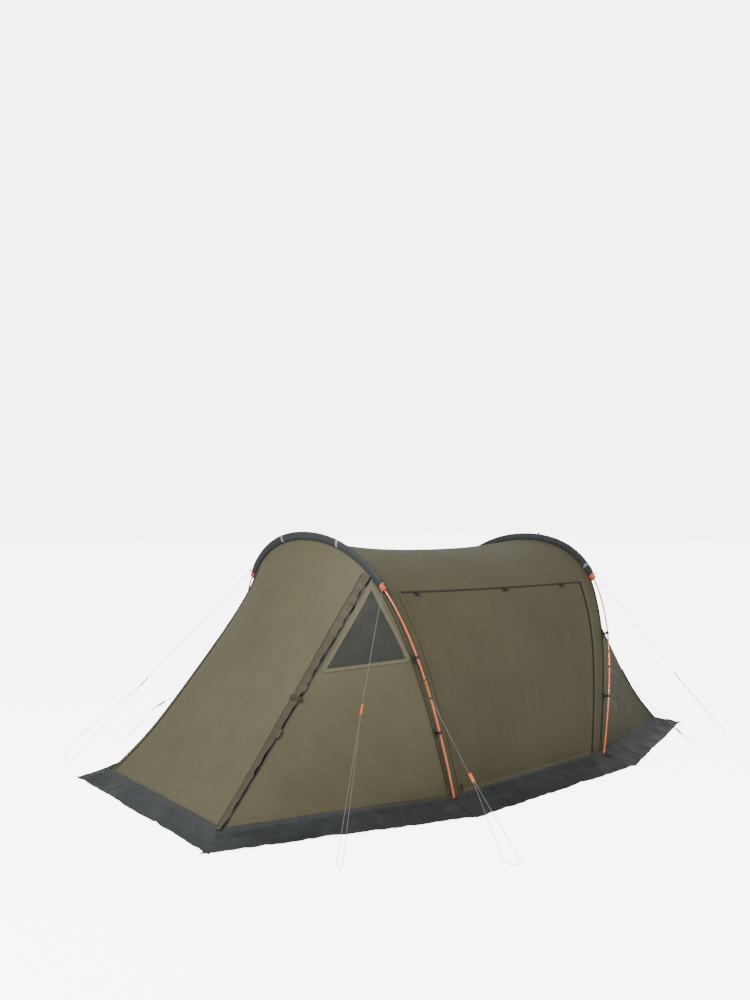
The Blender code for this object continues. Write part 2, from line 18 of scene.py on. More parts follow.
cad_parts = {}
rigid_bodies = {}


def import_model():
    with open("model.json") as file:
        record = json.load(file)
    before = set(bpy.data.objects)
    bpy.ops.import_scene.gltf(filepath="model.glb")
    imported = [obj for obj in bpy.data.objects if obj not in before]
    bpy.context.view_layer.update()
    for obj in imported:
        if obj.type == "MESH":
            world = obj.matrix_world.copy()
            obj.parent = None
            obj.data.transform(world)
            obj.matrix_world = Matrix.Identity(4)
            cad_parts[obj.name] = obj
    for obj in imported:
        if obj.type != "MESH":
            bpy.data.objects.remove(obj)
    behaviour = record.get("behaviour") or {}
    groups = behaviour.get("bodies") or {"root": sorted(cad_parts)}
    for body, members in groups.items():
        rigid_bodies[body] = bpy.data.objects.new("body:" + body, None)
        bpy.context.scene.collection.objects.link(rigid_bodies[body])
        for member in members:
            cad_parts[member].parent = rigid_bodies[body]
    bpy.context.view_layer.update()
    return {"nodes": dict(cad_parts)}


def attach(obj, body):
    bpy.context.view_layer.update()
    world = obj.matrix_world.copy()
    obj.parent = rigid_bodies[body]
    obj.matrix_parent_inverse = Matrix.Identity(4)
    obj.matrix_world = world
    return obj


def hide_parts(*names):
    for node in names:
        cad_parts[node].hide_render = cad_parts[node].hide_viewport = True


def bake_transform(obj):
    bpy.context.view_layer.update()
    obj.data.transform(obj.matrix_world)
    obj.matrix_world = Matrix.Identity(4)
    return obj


for leftover in list(bpy.data.objects):
    bpy.data.objects.remove(leftover, do_unlink=True)
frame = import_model()

# %% [markdown]
# ## The camera
# The viewer stands near the front corner, a little above the ridge, and looks down slightly. The
# lens is a moderate wide angle on a tall frame. The sensor is fitted to the frame's height, so the
# focal length and the shift are both counted against it.

# %% Camera
CAMERA_PLACE = (-3.3891, -3.6638, 1.3921)
CAMERA_DIP = 11.869
CAMERA_HEADING = 49.6036
lens = bpy.data.cameras.new("viewer")
lens.sensor_fit = "VERTICAL"
lens.sensor_height = 36
lens.lens = 31.19
lens.shift_y = 0.19
viewer = bpy.data.objects.new("viewer", lens)
bpy.context.scene.collection.objects.link(viewer)
viewer.location = CAMERA_PLACE
viewer.rotation_euler = (math.radians(90 - CAMERA_DIP), 0, math.radians(CAMERA_HEADING - 90))
bpy.context.scene.camera = viewer
print("camera", tuple(round(v, 2) for v in viewer.location), "lens", lens.lens, "mm")

# %% [markdown]
# ## Small tools
# Blender's operators work on whatever is selected, so a helper first clears the selection. The
# other helpers make a mesh from a grid of points, apply modifiers, and walk along a smooth line.

# %% Selecting and applying
def only(*things):
    bpy.ops.object.select_all(action="DESELECT")
    for thing in things:
        thing.select_set(True)
    bpy.context.view_layer.objects.active = things[0]


def apply_all(piece):
    only(piece)
    for modifier in list(piece.modifiers):
        bpy.ops.object.modifier_apply(modifier=modifier.name)


def settle_place(piece):
    """Moves a piece's place, turn and size into its mesh."""
    only(piece)
    bpy.ops.object.transform_apply(location=True, rotation=True, scale=True)


def smooth(piece, angle=40):
    only(piece)
    bpy.ops.object.shade_smooth_by_angle(angle=math.radians(angle))


def thicken(piece, thickness, offset=-1):
    wall = piece.modifiers.new("thickness", "SOLIDIFY")
    wall.thickness = thickness
    wall.offset = offset
    apply_all(piece)


def finish_piece(piece, material, body=None):
    piece.data.materials.clear()
    piece.data.materials.append(material)
    if body:
        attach(piece, body)
    return piece


def sew(piece, wall, offset, angle, material, body):
    """Gives a sheet or band its thickness, its shading, its cloth and the body it moves with."""
    thicken(piece, wall, offset)
    smooth(piece, angle)
    return finish_piece(piece, material, body)


def new_piece(name, mesh):
    piece = bpy.data.objects.new(name, mesh)
    bpy.context.scene.collection.objects.link(piece)
    return piece


def grid_piece(name, rows, closed=False, uvs=None):
    """A mesh through rows of points. A closed one joins each row's end to its start."""
    wide = len(rows[0])
    points = [tuple(p) for row in rows for p in row]
    faces = []
    places = []
    last = wide if closed else wide - 1
    for r in range(len(rows) - 1):
        for c in range(last):
            n = (c + 1) % wide
            faces.append((r * wide + c, r * wide + n, (r + 1) * wide + n, (r + 1) * wide + c))
            if uvs is not None:
                places += [uvs[r][c], uvs[r][c + 1], uvs[r + 1][c + 1], uvs[r + 1][c]]
    mesh = bpy.data.meshes.new(name)
    mesh.from_pydata(points, [], faces)
    if uvs is not None:
        layer = mesh.uv_layers.new(name="cloth")
        layer.data.foreach_set("uv", [float(x) for place in places for x in place])
    return new_piece(name, mesh)


print("tools ready")


# %% Walking along a line
def dense(points, steps=8):
    """A smooth line through the points, in short steps."""
    points = [Vector(p) for p in points]
    ends = [2 * points[0] - points[1]] + points + [2 * points[-1] - points[-2]]
    line = []
    for a, b, c, d in zip(ends, ends[1:], ends[2:], ends[3:]):
        for i in range(steps):
            t = i / steps
            line.append(0.5 * (2 * b + (c - a) * t + (2 * a - 5 * b + 4 * c - d) * t ** 2
                               + (3 * b - a - 3 * c + d) * t ** 3))
    return line + [points[-1]]


def run_of(line):
    """The length walked at each point of a line."""
    steps = [(b - a).length for a, b in zip(line, line[1:])]
    return np.concatenate([[0], np.cumsum(steps)])


def at(line, lengths):
    """Points of a line at the given lengths."""
    run = run_of(line)
    columns = [np.interp(lengths, run, [p[i] for p in line]) for i in range(3)]
    return [Vector(p) for p in zip(*columns)]


def headings(line):
    ends = [line[0]] + list(line) + [line[-1]]
    return [(b - a).normalized() for a, b in zip(ends, ends[2:])]


def evenly(line, step):
    total = run_of(line)[-1]
    return at(line, np.linspace(0, total, max(2, round(total / step) + 1)))


def ease(t):
    t = min(max(t, 0), 1)
    return t * t * (3 - 2 * t)


def wander(seed, *place):
    """Smooth noise between -1 and 1 at a place of up to three numbers."""
    spot = list(place) + [0.0] * (3 - len(place))
    return noise.noise(Vector(spot) + Vector((seed * 7.31, seed * 3.17, seed * 5.71)))


print("line tools ready")

# %% [markdown]
# ## Where the poles and the cloth run
# Each pole is six rods. The middles of their rings of points give the bowed line, which everything
# on the hoop follows. The cloth's own outer side is found by comparing each face with the direction
# away from the middle of the tent.

# %% The hoops
HOOPS = ("front", "rear")
RODS = 6


def hoop_line(end):
    """The middle of a bowed pole, from its near foot over the top to its far foot."""
    points = []
    for number in range(1, RODS + 1):
        mesh = frame["nodes"][f"pole_{end}_{number}"].data
        points += [tuple(round(x, 5) for x in v.co) for v in mesh.vertices]
    points = np.array(sorted(set(points)))
    top = points[points[:, 2].argmax()]
    feet = points[points[:, 2] < 0.1].mean(axis=0)
    middle = Vector((feet[0] + top[0], 0, feet[2] + top[2])) / 2
    up = Vector((top[0] - feet[0], 0, top[2] - feet[2])).normalized()
    turn = np.arctan2((points - np.array(middle)) @ np.array(up), -points[:, 1])
    turn = np.where(turn < -math.pi / 2, turn + 2 * math.pi, turn)
    order = turn.argsort()
    points = points[order]
    gaps = np.linalg.norm(np.diff(points, axis=0), axis=1)
    groups = np.split(points, np.where(gaps > 0.016)[0] + 1)
    return dense([Vector(g.mean(axis=0)) for g in groups], 12)


pole_lines = {end: hoop_line(end) for end in HOOPS}
pole_lengths = {end: run_of(pole_lines[end])[-1] for end in HOOPS}
pole_planes = {}
for end, line in pole_lines.items():
    top = line[len(line) // 2]
    lean = Vector((top.x - line[0].x, 0, top.z - line[0].z)).normalized()
    pole_planes[end] = Vector((lean.z, 0, -lean.x))
    print(end, "pole", round(pole_lengths[end], 3), "m, top", tuple(round(v, 3) for v in top))


def on_hoop(end, share):
    """The pole's middle, its direction and the way into the tent, at a share of its length."""
    total = pole_lengths[end]
    step = 0.004
    before, point, after = at(pole_lines[end], [(share - step) * total, share * total,
                                                (share + step) * total])
    along = (after - before).normalized()
    return point, along, along.cross(pole_planes[end]).normalized()


check = on_hoop("front", 0.5)
print("at the top the way in is", tuple(round(v, 2) for v in check[2]))

# %% [markdown]
# ## Finishes
# A node group is a small machine that several materials share. The first one here weaves cloth: it
# makes crossed threads from the piece's own flat pattern, and slow changes of tone from its place.
# The second one wears hard pieces with scuffs and dust. Each material sets the group's inputs.

# %% A group that weaves cloth
def new_group(name, inputs, outputs):
    group = bpy.data.node_groups.new(name, "ShaderNodeTree")
    for label, kind, value in inputs:
        socket = group.interface.new_socket(label, in_out="INPUT", socket_type=kind)
        if value is not None:
            socket.default_value = value
    for label, kind in outputs:
        group.interface.new_socket(label, in_out="OUTPUT", socket_type=kind)
    return group, group.nodes.new("NodeGroupInput"), group.nodes.new("NodeGroupOutput")


def math_node(tree, operation, a, b=None):
    node = tree.nodes.new("ShaderNodeMath")
    node.operation = operation
    for socket, value in zip(node.inputs, (a, b)):
        if isinstance(value, (int, float)):
            socket.default_value = value
        elif value is not None:
            tree.links.new(value, socket)
    return node.outputs[0]


def noise_node(tree, place, scale, detail=3, stretch=None):
    if stretch:
        turn = tree.nodes.new("ShaderNodeMapping")
        turn.inputs["Scale"].default_value = stretch
        tree.links.new(place, turn.inputs["Vector"])
        place = turn.outputs[0]
    node = tree.nodes.new("ShaderNodeTexNoise")
    node.inputs["Scale"].default_value = scale
    node.inputs["Detail"].default_value = detail
    tree.links.new(place, node.inputs["Vector"])
    return node.outputs["Fac"]


def span_node(tree, value, low, high, from_low=0.3, from_high=0.7):
    node = tree.nodes.new("ShaderNodeMapRange")
    for label, number in (("From Min", from_low), ("From Max", from_high)):
        node.inputs[label].default_value = number
    for label, given in (("To Min", low), ("To Max", high)):
        if isinstance(given, (int, float)):
            node.inputs[label].default_value = given
        else:
            tree.links.new(given, node.inputs[label])
    tree.links.new(value, node.inputs["Value"])
    return node.outputs[0]


def mix_node(tree, amount, a, b):
    node = tree.nodes.new("ShaderNodeMix")
    node.data_type = "RGBA"
    sockets = [s for s in node.inputs if s.type == "RGBA"]
    tree.links.new(amount, node.inputs[0])
    tree.links.new(a, sockets[0])
    tree.links.new(b, sockets[1])
    return next(s for s in node.outputs if s.type == "RGBA")


CLOTH_INPUTS = (("Pattern", "NodeSocketVector", None), ("Place", "NodeSocketVector", None),
                ("Light", "NodeSocketColor", (0.5, 0.5, 0.5, 1)),
                ("Dark", "NodeSocketColor", (0.3, 0.3, 0.3, 1)),
                ("Threads", "NodeSocketFloat", 900.0), ("Gloss", "NodeSocketFloat", 0.5),
                ("Matt", "NodeSocketFloat", 0.8))
cloth_group, given, made = new_group(
    "woven_cloth", CLOTH_INPUTS, (("Colour", "NodeSocketColor"), ("Roughness", "NodeSocketFloat"),
                                  ("Height", "NodeSocketFloat")))
split = cloth_group.nodes.new("ShaderNodeSeparateXYZ")
cloth_group.links.new(given.outputs["Pattern"], split.inputs[0])
waves = []
for axis in range(2):
    counted = math_node(cloth_group, "MULTIPLY", split.outputs[axis], given.outputs["Threads"])
    waves.append(math_node(cloth_group, "SINE", math_node(cloth_group, "MULTIPLY", counted, math.pi)))
crossing = math_node(cloth_group, "MULTIPLY", *waves)
slow = noise_node(cloth_group, given.outputs["Place"], 2.2, 4)
cloud = noise_node(cloth_group, given.outputs["Place"], 11, 3)
streak = noise_node(cloth_group, given.outputs["Pattern"], 40, 2, (1, 0.05, 1))
tone = math_node(cloth_group, "ADD", math_node(cloth_group, "MULTIPLY", slow, 0.55),
                 math_node(cloth_group, "ADD", math_node(cloth_group, "MULTIPLY", cloud, 0.2),
                           math_node(cloth_group, "MULTIPLY", streak, 0.25)))
shade = span_node(cloth_group, tone, 0.0, 1.0, 0.36, 0.64)
woven = math_node(cloth_group, "ADD", shade, math_node(cloth_group, "MULTIPLY", crossing, 0.08))
cloth_group.links.new(mix_node(cloth_group, woven, given.outputs["Dark"], given.outputs["Light"]),
                      made.inputs["Colour"])
cloth_group.links.new(span_node(cloth_group, cloud, given.outputs["Gloss"], given.outputs["Matt"]),
                      made.inputs["Roughness"])
cloth_group.links.new(math_node(cloth_group, "ADD", math_node(cloth_group, "MULTIPLY", crossing, 0.12),
                                math_node(cloth_group, "MULTIPLY", cloud, 0.5)),
                      made.inputs["Height"])
print("woven_cloth has", len(cloth_group.nodes), "nodes")


# %% A group that wears hard pieces
WEAR_INPUTS = (("Place", "NodeSocketVector", None), ("Clean", "NodeSocketColor", (0.5, 0.5, 0.5, 1)),
               ("Worn", "NodeSocketColor", (0.4, 0.4, 0.4, 1)), ("Grain", "NodeSocketFloat", 300.0),
               ("Gloss", "NodeSocketFloat", 0.3), ("Matt", "NodeSocketFloat", 0.6))
wear_group, given, made = new_group(
    "handled_surface", WEAR_INPUTS, (("Colour", "NodeSocketColor"), ("Roughness", "NodeSocketFloat"),
                                     ("Height", "NodeSocketFloat")))
rub = noise_node(wear_group, given.outputs["Place"], 26, 5)
speck = wear_group.nodes.new("ShaderNodeTexNoise")
wear_group.links.new(given.outputs["Place"], speck.inputs["Vector"])
wear_group.links.new(given.outputs["Grain"], speck.inputs["Scale"])
worn = span_node(wear_group, rub, 0.0, 1.0, 0.52, 0.72)
wear_group.links.new(mix_node(wear_group, worn, given.outputs["Clean"], given.outputs["Worn"]),
                     made.inputs["Colour"])
wear_group.links.new(span_node(wear_group, rub, given.outputs["Gloss"], given.outputs["Matt"]),
                     made.inputs["Roughness"])
wear_group.links.new(speck.outputs["Fac"], made.inputs["Height"])
print("handled_surface has", len(wear_group.nodes), "nodes")


# %% Materials from the groups
def dressed(name, group, bump, settings, plain=()):
    """A material whose colour, roughness and bump come from a group."""
    material = bpy.data.materials.new(name)
    material.use_nodes = True
    tree = material.node_tree
    shader = tree.nodes["Principled BSDF"]
    worker = tree.nodes.new("ShaderNodeGroup")
    worker.node_tree = group
    place = tree.nodes.new("ShaderNodeTexCoord")
    tree.links.new(place.outputs["Object"], worker.inputs["Place"])
    if "Pattern" in worker.inputs:
        tree.links.new(place.outputs["UV"], worker.inputs["Pattern"])
    for label, value in settings.items():
        worker.inputs[label].default_value = value
    tree.links.new(worker.outputs["Colour"], shader.inputs["Base Color"])
    tree.links.new(worker.outputs["Roughness"], shader.inputs["Roughness"])
    relief = tree.nodes.new("ShaderNodeBump")
    relief.inputs["Strength"].default_value = bump
    relief.inputs["Distance"].default_value = 0.001
    tree.links.new(worker.outputs["Height"], relief.inputs["Height"])
    tree.links.new(relief.outputs[0], shader.inputs["Normal"])
    for label, value in plain:
        shader.inputs[label].default_value = value
    return material


def cloth(name, light, dark, threads, gloss, matt, bump=0.5, plain=()):
    return dressed(name, cloth_group, bump, {"Light": (*light, 1), "Dark": (*dark, 1),
                                             "Threads": threads, "Gloss": gloss, "Matt": matt}, plain)


def hard(name, clean, worn, grain, gloss, matt, bump=0.3, plain=()):
    return dressed(name, wear_group, bump, {"Clean": (*clean, 1), "Worn": (*worn, 1), "Grain": grain,
                                            "Gloss": gloss, "Matt": matt}, plain)


SOFT = (("Specular IOR Level", 0.22), ("Sheen Weight", 0.02))
olive = cloth("olive_flysheet", (0.074, 0.066, 0.036), (0.060, 0.053, 0.028), 1400, 0.50, 0.64,
              plain=SOFT)
flap_cloth = cloth("olive_storm_flap", (0.058, 0.048, 0.029), (0.034, 0.028, 0.017), 1400, 0.42, 0.62,
                   plain=SOFT)
# Dark olive for seams, flap edges and tabs; on the hoop seams it is painted shade for the crease beside the
# pole.
seam_and_shade_cloth = cloth("dark_olive_seam_and_painted_shade", (0.034, 0.029, 0.016), (0.020, 0.017, 0.010), 1100, 0.6, 0.8,
                   plain=SOFT)
binding_cloth = cloth("light_olive_binding", (0.094, 0.086, 0.048), (0.072, 0.065, 0.036), 900,
                      0.55, 0.75, plain=SOFT)
net_cloth = cloth("black_window_net", (0.026, 0.026, 0.023), (0.017, 0.017, 0.015), 700, 0.6, 0.85,
                  plain=SOFT)
skirt_cloth = cloth("dark_grey_skirt", (0.026, 0.029, 0.030), (0.015, 0.017, 0.018), 1100,
                    0.34, 0.50, plain=(("Specular IOR Level", 0.4),))
sleeve_cloth = cloth("dark_grey_sleeve", (0.032, 0.036, 0.037), (0.016, 0.018, 0.019), 900, 0.5, 0.75,
                     plain=SOFT)
cuff_cloth = cloth("orange_cuff_tape", (0.62, 0.095, 0.014), (0.42, 0.055, 0.008), 700, 0.5, 0.75)
webbing = cloth("black_webbing", (0.010, 0.010, 0.010), (0.005, 0.005, 0.005), 800, 0.6, 0.85)
zip_tape = cloth("dark_zip_tape", (0.010, 0.009, 0.006), (0.006, 0.005, 0.004), 900, 0.55, 0.8)
reflective = cloth("reflective_tape", (0.22, 0.225, 0.225), (0.14, 0.145, 0.145), 1200, 0.3, 0.45)
cord_cloth = cloth("grey_braid", (0.16, 0.15, 0.135), (0.08, 0.075, 0.067), 800, 0.6, 0.85)
rod_lacquer = hard("orange_rod_lacquer", (0.66, 0.115, 0.014), (0.50, 0.075, 0.010), 500, 0.16, 0.32,
                   plain=(("Coat Weight", 0.9), ("Coat Roughness", 0.10)))
ferrule_metal = hard("satin_ferrule", (0.68, 0.22, 0.075), (0.48, 0.15, 0.05), 900, 0.24, 0.40,
                     plain=(("Metallic", 0.85),))
ring_rubber = hard("black_rod_ring", (0.007, 0.007, 0.007), (0.013, 0.013, 0.013), 700, 0.5, 0.7)
clip_plastic = hard("black_clip_plastic", (0.006, 0.006, 0.006), (0.013, 0.013, 0.013), 600, 0.38, 0.6)
runner_plastic = hard("orange_runner_plastic", (0.62, 0.095, 0.014), (0.42, 0.06, 0.010), 500, 0.35, 0.55)
zip_nylon = hard("dark_zip_coil", (0.010, 0.009, 0.007), (0.022, 0.020, 0.016), 800, 0.35, 0.55)
puller_metal = hard("dark_puller_metal", (0.04, 0.038, 0.034), (0.08, 0.075, 0.065), 900, 0.3, 0.5,
                    plain=(("Metallic", 0.9),))
print(len(bpy.data.materials), "materials")

# %% [markdown]
# ## The flysheet
# On the real tent each panel is cut flat, sewn to its neighbours and pulled tight, so it is one
# smooth saddle between the hoops and the ground. A Subdivision Surface on the working model's own
# outer faces gives that curve. Unwrapping the sheet lays it out flat again, as it was cut, so the
# threads of the cloth follow the panel. A slight swell between the seams keeps it from looking like
# sheet metal, and a Solidify wall gives it two sides.

# %% Panels from the working model
CORE_HEIGHT = 0.04
CORE_ENDS = (-0.757, 0.838)
CLOTH_WALL = 0.0008
PANEL_LEVELS = 3


def away(point):
    """The way out of the tent at a point of its cloth."""
    x = min(max(point.x, CORE_ENDS[0]), CORE_ENDS[1])
    return (point - Vector((x, 0, CORE_HEIGHT))).normalized()


def outer_faces(nodes, weld):
    """The outer faces of one or more panels, with their corners merged."""
    shape = bmesh.new()
    for node in nodes:
        shape.from_mesh(frame["nodes"][node].data)
    shape.normal_update()
    inner = [f for f in shape.faces if f.normal.dot(away(f.calc_center_median())) < 0.15]
    bmesh.ops.delete(shape, geom=inner, context="FACES")
    bmesh.ops.remove_doubles(shape, verts=shape.verts, dist=weld)
    return shape


def level_rows(shape):
    """Rows of points that share a height, each sorted along the tent."""
    rows = []
    for v in sorted(shape.verts, key=lambda v: v.co.z):
        if not rows or v.co.z - rows[-1][-1].co.z > 0.0005:
            rows.append([])
        rows[-1].append(v)
    return [sorted(row, key=lambda v: v.co.x) for row in rows]


def walked_rows(shape):
    """Rows of points found by walking up from the bottom edge, one cell at a time."""
    low = min(v.co.z for v in shape.verts)
    rows = [sorted((v for v in shape.verts if v.co.z < low + 0.0005), key=lambda v: v.co.y)]
    seen = set(rows[0])
    used = set()

    def third(a, b):
        """The free triangle on an edge, and its other corner."""
        for face in a.link_faces:
            if b in face.verts and face not in used:
                used.add(face)
                return next(v for v in face.verts if v not in (a, b))

    while True:
        row = rows[-1]
        rims = [e.other_vert(row[0]) for e in row[0].link_edges if e.is_boundary]
        above = [v for v in rims if v not in seen]
        if not above:
            return rows
        for a, b in zip(row, row[1:]):
            corner = third(a, above[-1])
            if corner is b:
                corner = third(above[-1], b)
            else:
                third(a, b)
            above.append(corner)
        seen.update(above)
        rows.append(above)


def outer_mesh(name, nodes, weld, find_rows):
    """A sheet of four-sided faces on the outer side of one or more panels."""
    shape = outer_faces(nodes, weld)
    if find_rows:
        rows = find_rows(shape)
        covered = [set(f.verts) for f in shape.faces]
        cells = [(a, b, d, c) for low, high in zip(rows, rows[1:])
                 for a, b, c, d in zip(low, low[1:], high, high[1:])]
        cells = [cell for cell in cells if any(three <= set(cell) for three in covered)]
        bmesh.ops.delete(shape, geom=list(shape.faces), context="FACES_ONLY")
        for cell in cells:
            shape.faces.new(cell)
        loose = [e for e in shape.edges if not e.link_faces]
        bmesh.ops.delete(shape, geom=loose, context="EDGES")
        bmesh.ops.recalc_face_normals(shape, faces=shape.faces)
        first = next(iter(shape.faces))
        if first.normal.dot(away(first.calc_center_median())) < 0:
            bmesh.ops.reverse_faces(shape, faces=shape.faces)
    else:
        bmesh.ops.join_triangles(shape, faces=shape.faces, angle_face_threshold=math.pi,
                                 angle_shape_threshold=math.pi, topology_influence=1)
    mesh = bpy.data.meshes.new(name)
    shape.to_mesh(mesh)
    odd = sum(len(f.verts) != 4 for f in shape.faces)
    shape.free()
    print(name, len(mesh.polygons), "coarse faces,", odd, "not four-sided")
    return new_piece(name, mesh)


def flat_pattern(piece, grain=(1, 0, 0)):
    """Lays the cloth out flat in metres, with its threads along the grain."""
    only(piece)
    bpy.ops.object.mode_set(mode="EDIT")
    bpy.ops.mesh.select_all(action="SELECT")
    bpy.ops.uv.unwrap(method="ANGLE_BASED", margin=0)
    bpy.ops.object.mode_set(mode="OBJECT")
    mesh = piece.data
    layer = mesh.uv_layers.active
    spots = np.zeros(len(mesh.loops) * 2)
    layer.data.foreach_get("uv", spots)
    spots = spots.reshape(-1, 2) - spots.reshape(-1, 2).mean(axis=0)
    places = np.array([mesh.vertices[loop.vertex_index].co for loop in mesh.loops])
    places = (places - places.mean(axis=0)) @ np.array(grain)
    area = sum(p.area for p in mesh.polygons)
    flat = 0.0
    for p in mesh.polygons:
        corner = spots[list(p.loop_indices)]
        following = np.roll(corner, -1, axis=0)
        flat += abs((corner[:, 0] * following[:, 1] - corner[:, 1] * following[:, 0]).sum()) / 2
    spots = spots * math.sqrt(area / flat)
    pull = places @ spots
    pull = pull / np.linalg.norm(pull)
    turn = np.array([[pull[0], -pull[1]], [pull[1], pull[0]]])
    layer.data.foreach_set("uv", (spots @ turn).ravel())


def swell(piece, amount, size, stretch=(1, 1, 1), seed=1, hold=0.07):
    """Lets the cloth between its sewn edges swell and hollow a little."""
    mesh = piece.data
    shape = bmesh.new()
    shape.from_mesh(mesh)
    rim = [v.co.copy() for v in shape.verts if v.is_boundary]
    tree = KDTree(len(rim))
    for i, point in enumerate(rim):
        tree.insert(point, i)
    tree.balance()
    for v in shape.verts:
        free = ease(tree.find(v.co)[2] / hold)
        spot = [v.co[i] * stretch[i] / size for i in range(3)]
        v.co += v.normal * amount * free * wander(seed, *spot)
    shape.to_mesh(mesh)
    shape.free()


def panel(name, nodes, weld=0.00002, grain=(1, 0, 0), find_rows=None):
    piece = outer_mesh(name, nodes, weld, find_rows)
    flat_pattern(piece, grain)
    rounder = piece.modifiers.new("rounder", "SUBSURF")
    rounder.levels = rounder.render_levels = PANEL_LEVELS
    rounder.boundary_smooth = "PRESERVE_CORNERS"
    apply_all(piece)
    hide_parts(*nodes)
    return piece


tunnel_cloth = panel("tunnel_cloth", ["roof_and_sides"])
front_sheet = panel("front_sheet", ["front_cap", "front_door"], weld=0.0105, grain=(0, 1, 0),
                    find_rows=walked_rows)
rear_sheet = panel("rear_sheet", ["rear_panel"], grain=(0, 1, 0), find_rows=walked_rows)
side_sheets = {}
front_walls = {}
rear_walls = {}
panes = {}
for side in ("near", "far"):
    side_sheets[side] = panel(f"side_sheet_{side}", [f"side_door_{side}"])
    front_walls[side] = panel(f"front_wall_cloth_{side}", [f"front_wall_{side}"])
    rear_walls[side] = panel(f"rear_wall_cloth_{side}", [f"rear_wall_{side}"],
                             find_rows=level_rows)
    panes[side] = panel(f"window_net_{side}", [f"window_{side}"], find_rows=level_rows)

swell(tunnel_cloth, 0.004, 0.30, (0.5, 1, 1), seed=1)
swell(front_sheet, 0.005, 0.26, (1, 0.8, 0.7), seed=2)
swell(rear_sheet, 0.005, 0.26, (1, 0.8, 0.7), seed=3)
for i, side in enumerate(("near", "far")):
    swell(side_sheets[side], 0.004, 0.24, (0.7, 1, 0.9), seed=4 + i)
    swell(front_walls[side], 0.004, 0.20, (0.8, 1, 1), seed=6 + i)
    swell(rear_walls[side], 0.004, 0.20, (0.8, 1, 1), seed=8 + i)
    swell(panes[side], 0.002, 0.12, (1, 1, 0.6), seed=10 + i, hold=0.03)
print("panels ready")

# %% [markdown]
# ## Seams, bands and zips
# Everything sewn onto the flysheet is laid along a line of it. The line is walked round a panel's
# edge between two corners. A band then takes the cloth's own height and slope at each point, so it
# follows every hollow. Zips have two tapes and two rows of teeth, one for each side that parts.

# %% Tools for sewn pieces
PAST_THE_EDGE = 0.006
TOOTH_PITCH = 0.003
TOOTH_HALF = (0.0006, 0.0017, 0.0008)
TOOTH_FACES = ((0, 2, 3, 1), (4, 5, 7, 6), (0, 1, 5, 4), (2, 6, 7, 3), (0, 4, 6, 2), (1, 3, 7, 5))
FLYSHEET = [tunnel_cloth, front_sheet, rear_sheet, *side_sheets.values(), *front_walls.values(),
            *rear_walls.values(), *panes.values()]
whole = bmesh.new()
for piece in FLYSHEET:
    whole.from_mesh(piece.data)
skin = BVHTree.FromBMesh(whole)
whole.free()


def walked(start, goal, first, limit):
    """One way round a panel's edge, from a point to another."""
    path = [start, first]
    while path[-1] is not goal and len(path) < limit:
        here = path[-1]
        around = [e.other_vert(here) for e in here.link_edges if e.is_boundary]
        path.append(next(v for v in around if v is not path[-2]))
    return path


def rim(piece, start, goal):
    """The shorter way along a panel's edge between its points nearest to two places."""
    shape = bmesh.new()
    shape.from_mesh(piece.data)
    edge = [v for v in shape.verts if v.is_boundary]
    first, last = (min(edge, key=lambda v: (v.co - Vector(p)).length) for p in (start, goal))
    ways = [e.other_vert(first) for e in first.link_edges if e.is_boundary]
    lines = [[v.co.copy() for v in walked(first, last, way, len(edge))] for way in ways]
    shape.free()
    return min(lines, key=lambda line: run_of(line)[-1])


def corners(piece):
    """A panel's two low corners and then its two high ones, each pair from front to rear."""
    points = [v.co for v in piece.data.vertices]
    ways = ((-1, -2), (1, -2), (-1, 2), (1, 2))
    return [max(points, key=lambda p, x=x, z=z: p.x * x + p.z * z).copy() for x, z in ways]


def on_cloth(point, lift=0):
    hit, normal, _, _ = skin.find_nearest(point)
    return hit + normal * lift


def laid(point, along, offset, lift):
    """A place on the cloth beside a line, lifted off it."""
    out = skin.find_nearest(point)[1]
    place = point + along.cross(out).normalized() * offset
    hit, normal, _, gap = skin.find_nearest(place)
    if gap > PAST_THE_EDGE:
        return place + out * lift
    return hit + normal * lift


def strip(name, line, reach, material, lift=0.0012, ruffle=0.0, body="tent", columns=5, seed=1,
          thickness=0.0007, step=0.012):
    """A band of cloth along a line. Its reach says how far it goes to the left and right."""
    line = evenly(line, step)
    rows = []
    spots = []
    for point, along, length in zip(line, headings(line), run_of(line)):
        row = []
        spot = []
        for c in range(columns):
            t = c / (columns - 1)
            offset = reach[0] + (reach[1] - reach[0]) * t
            pucker = ruffle * t * (0.8 + 1.3 * wander(seed, length * 22, offset * 9))
            wave = ruffle * 0.8 * t * wander(seed + 5, length * 17)
            row.append(laid(point, along, offset + wave, lift + max(pucker, 0)))
            spot.append((length, offset))
        rows.append(row)
        spots.append(spot)
    return sew(grid_piece(name, rows, uvs=spots), thickness, 1, 50, material,
               body)


def teeth(name, line, side, body, lift=0.0022):
    """One row of a zip's teeth, on the left (-1) or right (1) of its line."""
    line = evenly(line, TOOTH_PITCH)
    half_along, half_across, half_out = TOOTH_HALF
    points = []
    faces = []
    for point, along in zip(line, headings(line)):
        out = skin.find_nearest(point)[1]
        across = along.cross(out).normalized()
        middle = point + along * TOOTH_PITCH / 4 * side + across * 0.0014 * side + out * lift
        first = len(points)
        for i in range(8):
            a, b, c = (1 if i & bit else -1 for bit in (1, 2, 4))
            points.append(tuple(middle + along * a * half_along + across * b * half_across
                                + out * c * half_out))
        faces += [[first + i for i in face] for face in TOOTH_FACES]
    mesh = bpy.data.meshes.new(name)
    mesh.from_pydata(points, [], faces)
    return finish_piece(new_piece(name, mesh), zip_nylon, body)


